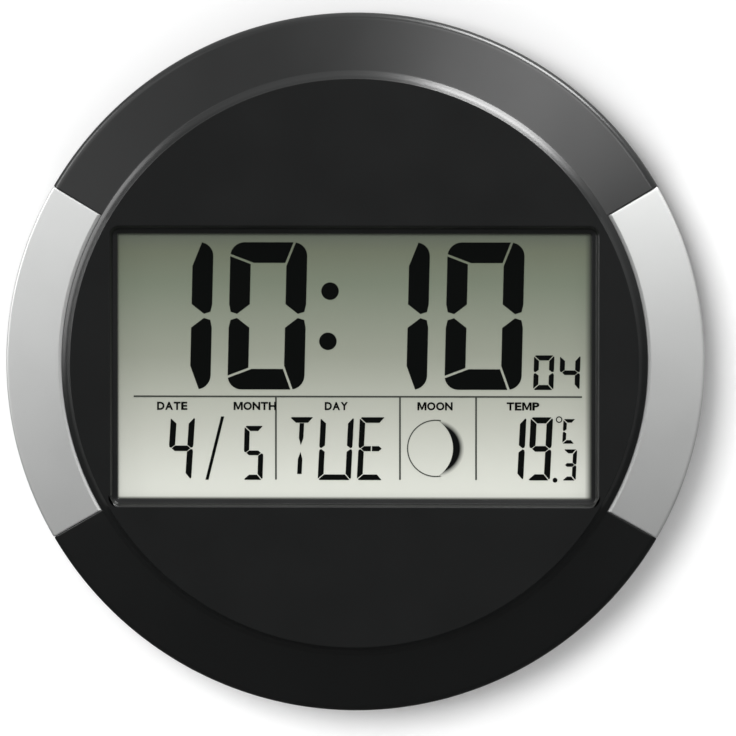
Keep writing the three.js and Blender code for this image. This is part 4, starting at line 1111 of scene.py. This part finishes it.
rod_low, rod_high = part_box("ferrite_rod")
antenna_x, antenna_up = -12.0, (rod_low.z + rod_high.z) / 2 / mm
antenna_out = -(rod_low.y + rod_high.y) / 2 / mm
receiver_low, receiver_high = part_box("receiver_board")
receiver_x, receiver_rear = (receiver_low.x + receiver_high.x) / 2 / mm, -receiver_high.y / mm
cradles, posts, pins = [], [], []
for side in (-1, 1):
    cradle = panel((antenna_x + side * 27, antenna_up), 1.2, 6.5, 0.3)
    post_spot = (receiver_x + side * 8.5, antenna_up)
    cradles.append(prism(cradle(), wall_root, antenna_out))
    posts.append(prism(round_outline(post_spot, 2.2)(), wall_root, receiver_rear - 0.05))
    pins.append(prism(round_outline(post_spot, 1.0)(), back_wall, receiver_rear + 1.8))
rod_groove = beam(arc((antenna_up, antenna_out), 4.2, 0, 352.5, 47), -47, 23)
print("keyhole outline:", len(keyhole_outline()), "points, key holes:", len(key_holes), "vents:", len(vents))

# %% Battery well
hook_places = (-20.0, 20.0)
cell_rows = (well_middle - 7.45, well_middle + 7.45)
well = panel((0, well_middle), well_half_width, well_half_height, 0.4)
seat = panel((0, well_middle), well_half_width + door_lap, well_half_height + door_lap, seat_corner)
well_wall_solid = prism(well(well_wall), wall_root, well_floor + well_wall)
seat_wall_solid = prism(seat(well_wall), wall_root, door_seat + well_wall)
seat_top, seat_foot = well_middle + well_half_height + door_lap, well_middle - well_half_height - door_lap
hook_slots = [
    prism(box_outline(x - 4.3, x + 4.3, seat_top - 6.0, seat_top + 3.4), back_wall, 4.7) for x in hook_places
]
latch_slot = prism(box_outline(-6.3, 6.3, seat_foot, seat_foot + door_lap + well_wall), back_wall, 7.5)
scoop = mouth(round_outline((0, seat_foot), 9.0), level(0), 1.2, 0.4)
tab_slots = [prism(box_outline(29.8, 34.5, row - 1.8, row + 1.8), 13.1, 14.2) for row in cell_rows]
keyhole_cut = mouth(keyhole_outline, level(0), 2 * back_wall, 0.35)
recess_cut = mouth(recess, level(0), recess_floor, 0.5)
seat_cut = mouth(seat, level(0), door_seat, 0.35)
pocket_cut, well_cut = prism(pocket(), back_wall, pocket_roof), prism(well(), 1, well_floor)
back_cover = carve(
    back_dish(),
    joined=[
        boss_solids + [pocket_wall, recess_wall, seat_wall_solid] + cradles + posts,
        [well_wall_solid] + pins,
    ],
    cut=[
        head_holes + vents + [keyhole_cut, recess_cut, seat_cut, rod_groove],
        shank_holes + key_holes + [pocket_cut, well_cut],
        hook_slots + [latch_slot] + tab_slots,
        [scoop],
    ],
)
back_black = grained("back_black", paint(24, 25, 25), 0.5, drift=0.16, grain_size=0.8, grain_depth=0.07)
dress(back_cover, back_black, "case", "back_black", "back_cover")

# %% [markdown]
# Battery door
#
# The door is a flat plate with a rounded outer edge, three grip ridges by its foot, two hooks along its top
# edge and a latch leaf below. It is made like the cover: a loft for the plate, and the rest joined to it.

# %% Door
door_half_width = well_half_width + door_lap - door_gap
door_half_height = well_half_height + door_lap - door_gap
door_outer, door_inner, door_round = 0.4, 2.2, 0.4
door_top, door_foot = seat_top - door_gap, seat_top - door_gap - 2 * door_half_height
ridge_pitch, ridge_rise = 2.2, 0.3
hook_half_width, latch_half_width = 4, 6


def rounded_plate(outline_at, near, far, rounding):
    """A plate over an outline whose near edge is a quarter-round and whose far edge is slightly broken."""
    turns = np.radians(np.linspace(0, 90, 6))
    near_edge = zip(rounding * (np.sin(turns) - 1), near + rounding * (1 - np.cos(turns)))
    stations = [*near_edge, (0, far - 0.15), (-0.15, far)]
    return [spot(*outline_at(offset).T, out) for offset, out in stations]


ridges = []
for i in range(3):
    ridge = panel((0, door_foot + ridge_pitch * (2 + i)), 6.0, 0.45, 0.44)
    ridges.append(loft_arrays(rounded_plate(ridge, door_outer - ridge_rise, 1.0, ridge_rise)))
hook_profile = np.array([
    (-3, 1.5), (0, 1.5), (0, 2.2), (1.9, 2.2), (2.2, 2.5), (2.2, 3.2), (1.9, 3.5), (-3, 3.5),
])
hooks = [beam(hook_profile + (door_top, 0), x - hook_half_width, x + hook_half_width) for x in hook_places]
latch_profile = np.array([
    (0.6, 1.3), (1.8, 1.3), (1.8, 6.5), (1.6, 6.7), (0.8, 6.7), (0.6, 6.5), (0.6, 5.8), (0.2, 5.5),
    (0.2, 4.5), (0.6, 4.2),
])
latch = beam(latch_profile + (door_foot, 0), -latch_half_width, latch_half_width)
door_middle, door_corner = (0, door_foot + door_half_height), seat_corner - door_gap
door_plate = panel(door_middle, door_half_width, door_half_height, door_corner)
door = loft("battery_door_panel", rounded_plate(door_plate, door_outer, door_inner, door_round))
carve(door, joined=[ridges + hooks + [latch]])
dress(door, back_black, "battery_door", "back_black", "battery_door")

# %% [markdown]
# Push keys
#
# A key is one moulding: a pill-shaped cap with a shallow finger dish, a flange that keeps it in the cover
# and a round stem that reaches its switch. All three sections have the same number of points, so one loft
# runs through them.

# %% Keys with their signs
key_grey = grained("key_grey", paint(62, 64, 64), 0.55, drift=0.1, grain_size=0.4, grain_depth=0.012)
key_face, flange_rear, flange_front, key_tip = 0.6, 3.85, 5.05, -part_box("mode_button")[0].y / mm


def push_key(name):
    """The cap's dished face and rounded edge, then the flange and the stem."""
    cap = [
        (-2.6, 0.32), (-1.9, 0.24), (-1.2, 0.1), (-0.7, 0.01),
        (-0.45, 0), (-0.22, 0.06), (-0.06, 0.22), (0, 0.45),
    ]
    flange = [
        (0, flange_rear), (1.25, flange_rear), (1.4, flange_rear + 0.15), (1.4, flange_front - 0.15),
        (1.25, flange_front),
    ]
    stem = [(2.3, flange_front), (2.0, flange_front + 0.3), (2.0, key_tip - 0.3), (1.7, key_tip)]
    rows = [spot(*key_outline(name, offset).T, key_face + depth) for offset, depth in cap]
    rows += [spot(*key_outline(name, offset).T, out) for offset, out in flange]
    for radius, out in stem:
        rows.append(spot(*(key_middles[name] + rounded_rectangle(radius, radius, radius)).T, out))
    return loft(f"{name}_key", rows)


for name in key_names:
    dress(push_key(name), key_grey, f"{name}_button", "key_grey", f"{name}_button")
sign_white = grained("sign_white", paint(205, 206, 202), 0.6, grain_size=0.5, grain_depth=0.004)
sign_arm, sign_stroke = 1.4, 0.25
minus_sign = box_outline(-sign_arm, sign_arm, -sign_stroke, sign_stroke)
quarter = np.array([(sign_stroke, sign_stroke), (sign_stroke, sign_arm), (-sign_stroke, sign_arm)])
quarter_turns = [np.array([[c, s], [-s, c]]) for c, s in ((1, 0), (0, 1), (-1, 0), (0, -1))]
plus_sign = np.concatenate([quarter @ turn for turn in quarter_turns])
for name, sign in (("plus", plus_sign), ("minus", minus_sign)):
    piece = plates(f"{name}_sign", [sign], key_face + 0.1, key_face + 0.4, key_middles[name])
    dress(piece, sign_white, f"{name}_button", "key_grey")

# %% [markdown]
# Case screws
#
# Six self-tapping screws hold the cover. Their heads sit deep in the cover's holes: a turned pan head with
# a cross recess. The body is one revolve, and two crossed wedges cut the recess.

# %% Screws
screw_steel = grained("screw_steel", paint(150, 152, 155), 0.32, metallic=0.95, drift=0.12, grain_size=0.25,
                      grain_depth=0.004)
screw_rest = screw_seat - 0.1
screw_profile = [
    (1.2, -2.0), (1.9, -1.93), (2.35, -1.72), (2.62, -1.38), (2.74, -0.95), (2.75, -0.15), (2.6, 0.0),
    (1.5, 0.0), (1.5, 8.4), (1.2, 9.0), (0.6, 10.0),
]
blade_stations = [(1, -2.4), (1, -2.0), (0.6, -0.7)]
blade_length, blade_width = 1.45, 0.3


def case_screw(number, middle):
    """A pan head, a shank and a point as one turned profile, with two crossed blades cut out of it."""
    rows = [spot(*round_outline(middle, radius)().T, screw_rest + out) for radius, out in screw_profile]
    screw = loft(f"case_screw_{number}_pan_head", rows)
    blades = []
    for half_x, half_up in ((blade_length, blade_width), (blade_width, blade_length)):
        outline = box_outline(-half_x, half_x, -half_up, half_up)
        rows = [spot(*(middle + share * outline).T, screw_rest + out) for share, out in blade_stations]
        blades.append([loft_arrays(rows)])
    return carve(screw, cut=blades, sharp=30)


for i, middle in enumerate(screw_middles):
    dress(case_screw(i + 1, middle), screw_steel, "case", "screw_steel", f"case_screw_{i + 1}")

# %% [markdown]
# Cells and springs
#
# Two AA cells lie head to tail in the well. A cell is a revolve along X: a sleeve that wraps over a steel
# can, a bare foot and a nub. The springs are conical helices, swept as one tube with closed ends. Their
# wire lies closer at both ends, as a real spring's dead coils do.

# %% Cells
cell_radius, cell_length, cell_shoulder = 7.25, 50.5, 49.5
sleeve_start, sleeve_end, band_start, sleeve_edge = 0.75, 49.25, 36.0, 0.1
cell_profile = np.array([
    (0.25, 3.0), (0.25, 5.2), (0.05, 5.6), (0.0, 6.1), (0.1, 6.7), (0.35, 7.05), (0.75, 7.2),
    (0.8, cell_radius), (48.7, cell_radius), (49.15, 7.12), (49.4, 6.85), (cell_shoulder, 6.4),
    (cell_shoulder, 6.0), (49.25, 5.8), (49.2, 3.5), (49.35, 2.95), (49.6, 2.75), (50.1, 2.72), (50.4, 2.5),
    (cell_length, 2.0), (cell_length, 1.0),
])


def cell_finish(name, foot, direction):
    """A plain pale sleeve with a dark green end by the nub, and bare steel past both of its rims."""
    material, shader, place = start_finish(name)
    along = (place.axis("X") - foot * mm) * direction
    scuff = place.noise(400.0, 3.0)
    past_foot = along.between(sleeve_start * mm, (sleeve_start + sleeve_edge) * mm)
    before_nub = along.between((sleeve_end + sleeve_edge) * mm, sleeve_end * mm)
    steel = 1 - past_foot * before_nub
    band = along.between(band_start * mm, (band_start + sleeve_edge) * mm)
    sleeve = band.blend(scuff.blend(paint(196, 198, 194), paint(206, 208, 204)), paint(30, 74, 58))
    place.fill(shader, {
        "Base Color": steel.blend(sleeve, paint(186, 187, 188)),
        "Metallic": steel * 0.95,
        "Roughness": scuff * 0.1 + 0.28,
    })
    return material


def cell(name, foot, direction, up, out):
    """A turned profile of (distance from the foot, radius) about the cell's axis."""
    turns = np.radians(np.arange(0, 360, 5))[None]
    along, radius = cell_profile[:, :1], cell_profile[:, 1:]
    rows = spot(foot + direction * along, up + radius * np.cos(turns), out + radius * np.sin(turns))
    return loft(name, rows, 28)


cell_places = {}
for row, direction in (("upper", 1), ("lower", -1)):
    low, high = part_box(f"battery_{row}")
    foot = (low.x if direction > 0 else high.x) / mm
    up, out = (low.z + high.z) / 2 / mm, -(low.y + high.y) / 2 / mm
    cell_places[row] = (direction, up, out)
    finish = cell_finish(f"cell_sleeve_{row}", foot, direction)
    dress(cell(f"aa_cell_{row}", foot, direction, up, out), finish, "case", "cell_sleeve", f"battery_{row}")


# %% Springs
spring_foot, spring_tip, spring_wire, spring_turns, spring_length = 4.0, 2.6, 0.4, 4, 8.5
spring_steps, wire_step, dead_coil = 40, 36, 0.7


def coil_spring(name, foot, direction, up, out):
    """A tube along a cone's helix. At a share t of the wire the height is t - 0.7 sin(2 pi t) / (2 pi) of the
    rise, so that the coils lie closer at both ends."""
    share = np.linspace(0, 1, spring_turns * spring_steps + 1)
    turn = 2 * math.pi * spring_turns * share
    radius = spring_foot + (spring_tip - spring_foot) * share
    rise = spring_length - 2 * spring_wire
    along = spring_wire + rise * (share - dead_coil * np.sin(2 * math.pi * share) / (2 * math.pi))
    path = np.stack([along, radius * np.cos(turn), radius * np.sin(turn)], axis=1)
    ahead = np.gradient(path, axis=0)
    ahead /= np.linalg.norm(ahead, axis=1, keepdims=True)
    outward = np.stack([0 * turn, np.cos(turn), np.sin(turn)], axis=1)
    across = np.cross(ahead, outward)
    across /= np.linalg.norm(across, axis=1, keepdims=True)
    outward = np.cross(across, ahead)
    section = np.radians(np.arange(0, 360, wire_step))
    side, lift = np.cos(section)[None, :, None], np.sin(section)[None, :, None]
    tube = path[:, None] + spring_wire * (side * outward[:, None] + lift * across[:, None])
    return loft(name, spot(foot + direction * tube[..., 0], up + tube[..., 1], out + tube[..., 2]), 60)


plated_steel = grained("plated_steel", paint(198, 198, 192), 0.28, metallic=0.95, drift=0.08, grain_size=0.3,
                       grain_depth=0.003)
for row, (direction, up, out) in cell_places.items():
    low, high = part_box(f"battery_spring_{row}")
    foot = (low.x if direction > 0 else high.x) / mm
    piece = coil_spring(f"contact_spring_{row}", foot, direction, up, out)
    dress(piece, plated_steel, "case", "plated_steel", f"battery_spring_{row}")

# %% [markdown]
# Finishes of the parts inside
#
# The boards, leads and small parts keep their solids, whose shape is right, and get finishes of their own.
# Each slot of the record has one, and a loop hands them to every node that is still shown.

# %% Finishes by slot
inner_looks = {
    "foam": ((28, 28, 28), 0.95, {"grain_size": 0.6, "grain_depth": 0.12}),
    "display_glass": ((206, 214, 209), 0.08, {"drift": 0.03, "grain_depth": 0.0005}),
    "reflector": ((186, 189, 175), 0.4, {"metallic": 0.3, "grain_size": 0.2}),
    "frame_white": ((226, 226, 221), 0.6, {"drift": 0.05}),
    "elastomer": ((66, 60, 72), 0.8, {"grain_size": 0.2}),
    "circuit_board": ((38, 96, 58), 0.45, {"drift": 0.15, "grain_size": 0.9}),
    "potting": ((18, 18, 18), 0.3, {"grain_size": 0.8, "grain_depth": 0.02}),
    "capacitor_sleeve": ((34, 48, 74), 0.4, {}),
    "switch_plastic": ((30, 30, 30), 0.5, {}),
    "ferrite": ((58, 55, 51), 0.7, {"drift": 0.2, "grain_size": 0.3, "grain_depth": 0.03}),
    "copper_winding": ((184, 106, 52), 0.35, {"metallic": 0.8, "grain_size": 0.25, "grain_depth": 0.03}),
    "lead_grey": ((152, 152, 152), 0.5, {}),
    "lead_red": ((160, 38, 34), 0.5, {}),
    "lead_black": ((26, 26, 26), 0.5, {}),
}
inner_finishes = {"plated_steel": plated_steel, "screw_steel": screw_steel, "trim_silver": trim_silver}
for slot, (colour, roughness, details) in inner_looks.items():
    inner_finishes[slot] = grained(slot, paint(*colour), roughness, **details)
dressed = 0
for subpart in frame["record"]["subparts"]:
    node = frame["nodes"][subpart["node"]]
    if node.hide_render:
        continue
    node.data.materials.clear()
    node.data.materials.append(inner_finishes[subpart["material_slot"]])
    dressed += 1
print("inner nodes with their own finish:", dressed)

# %% [markdown]
# Wall and floor
#
# The clock hangs on a white wall over a pale floor. Both could be plain solid sheets, but then the wall
# would hide the clock from behind and the floor from below. So each sheet is seen from its front only, and
# neither throws a shadow.

# %% Two sheets
wall_gap, wall_half, floor_drop, floor_half = 0.0004, 3.0, -1.6, 45.0
wall_tone, floor_tone = (0.95, 0.95, 0.95, 1), (0.8, 0.8, 0.8, 1)


def stage_finish(name, colour):
    """A matt pale surface that is clear from behind: Backfacing mixes in a transparent shader."""
    material, shader, place = start_finish(name)
    drift = place.noise(3.0, 2.0)
    place.fill(shader, {
        "Base Color": drift.blend(tone(colour, 0.995), tone(colour, 1.005)),
        "Roughness": 0.9,
        "Specular IOR Level": 0.0,
    })
    behind = place.node("ShaderNodeNewGeometry", output="Backfacing")
    clear = place.node("ShaderNodeBsdfTransparent")
    solid = Wire(material.node_tree, shader.outputs["BSDF"])
    mixed = place.node("ShaderNodeMixShader", None, {0: behind, 1: solid, 2: clear})
    place.fill(material.node_tree.nodes["Material Output"], {"Surface": mixed})
    return material


def stage_sheet(name, corners, finish):
    """One flat sheet of the stage, between its corners."""
    mesh = bpy.data.meshes.new(name)
    mesh.from_pydata(corners, [], [list(range(len(corners)))])
    sheet = bpy.data.objects.new(name, mesh)
    scene.collection.objects.link(sheet)
    mesh.materials.append(finish)
    sheet.visible_shadow = False
    sheet.visible_glossy = False
    return sheet


wall_outline = box_outline(-wall_half, wall_half, floor_drop, wall_half).tolist()
wall_corners = [(x, wall_gap, up) for x, up in wall_outline]
wall = stage_sheet("wall", wall_corners, stage_finish("wall_white", wall_tone))
wall.visible_diffuse = False
floor_outline = box_outline(-floor_half, floor_half, -floor_half, floor_half).tolist()
floor_corners = [(x, y, floor_drop) for x, y in floor_outline]
stage_sheet("floor", floor_corners, stage_finish("floor_pale", floor_tone))
print("wall", 2 * wall_half, "m wide, floor", 2 * floor_half, "m wide")

# %% [markdown]
# Lamps
#
# A large soft lamp stands at the upper right and a wider and weaker one at the upper left. Two lamps far
# out to the sides draw the bright lines on the bevel, and a faint one lifts the silver strips alone. The
# wall has a lamp of its own, because the shadow that it throws is softer than the clock's own shading. Two
# lamps behind light the back and leave out the wall and the front, so that they change nothing in the view
# from the front.

# %% Softboxes
def lit_group(name, state, things):
    """A light group that names things, either as all that a lamp lights or as what it leaves out."""
    group = bpy.data.collections.new(name)
    for thing in things:
        group.objects.link(thing)
    for member in group.collection_objects:
        member.light_linking.link_state = state
    return group


wall_only = lit_group("wall_only", "INCLUDE", [wall])
all_but_wall = lit_group("all_but_wall", "EXCLUDE", [wall])
back_only = lit_group("back_only", "EXCLUDE", [wall, *front_pieces])
trims_only = lit_group("trims_only", "INCLUDE", front_pieces[1:])


def softbox(name, off_axis, clock_angle, distance, size, level, behind=False, lights=all_but_wall):
    """An area lamp aimed at the clock. The angles are off the viewing axis and round it from 3 o'clock, in
    degrees, and level is the brightness that it gives to a white surface that faces it."""
    away, turn = math.radians(off_axis), math.radians(clock_angle)
    direction = np.array([
        math.sin(away) * math.cos(turn),
        math.cos(away) if behind else -math.cos(away),
        math.sin(away) * math.sin(turn),
    ])
    data = bpy.data.lights.new(name, "AREA")
    data.shape = "RECTANGLE"
    data.size, data.size_y = size
    data.energy = level * math.pi**2 * distance**2
    lamp = bpy.data.objects.new(name, data)
    lamp.location = direction * distance
    lamp.rotation_euler = (-lamp.location).to_track_quat("-Z", "Y").to_euler()
    lamp.visible_camera = False
    lamp.light_linking.receiver_collection = lights
    scene.collection.objects.link(lamp)


softbox("key_lamp", 38, 58, 2.2, (1.1, 1.2), 0.45)
softbox("left_lamp", 54, 156, 2.4, (2.2, 2.2), 0.3)
softbox("bevel_lamp", 88, 62, 1.8, (0.85, 0.95), 1.6)
softbox("left_bevel_lamp", 80, 160, 1.8, (0.5, 1.4), 0.45)
softbox("trim_lamp", 40, 126, 2.4, (0.9, 0.9), 0.07, lights=trims_only)
softbox("wall_lamp", 27, 147, 3.0, (1.7, 1.7), 0.8, lights=wall_only)
softbox("back_lamp", 40, 50, 2.4, (1.8, 1.8), 0.8, behind=True, lights=back_only)
softbox("low_back_lamp", 42, 290, 2.4, (1.6, 3.0), 0.45, behind=True, lights=back_only)

# %% [markdown]
# Room light
#
# A black case mostly shows what it reflects. A plain grey world would make it flat, so the world is a dome
# that is dark low down and bright overhead, which gives the ring its light top and its dark foot.

# %% World
world = bpy.data.worlds.new("studio")
world.use_nodes = True
dome = Wire(world.node_tree).node("ShaderNodeTexCoord", output="Generated")
dome_levels = ((0.3, 0.06), (0.5, 0.06), (0.7, 0.44), (0.82, 0.44), (0.95, 0.8), (1, 0.8))
dome_stops = [(place, (level, level, level, 1)) for place, level in dome_levels]
sky = dome.node("ShaderNodeValToRGB", {"stops": dome_stops}, {"Fac": dome.axis("Z").between(-1, 1)})
dome.fill(world.node_tree.nodes["Background"], {"Color": sky})
scene.world = world
print("dome stops:", len(dome_stops))
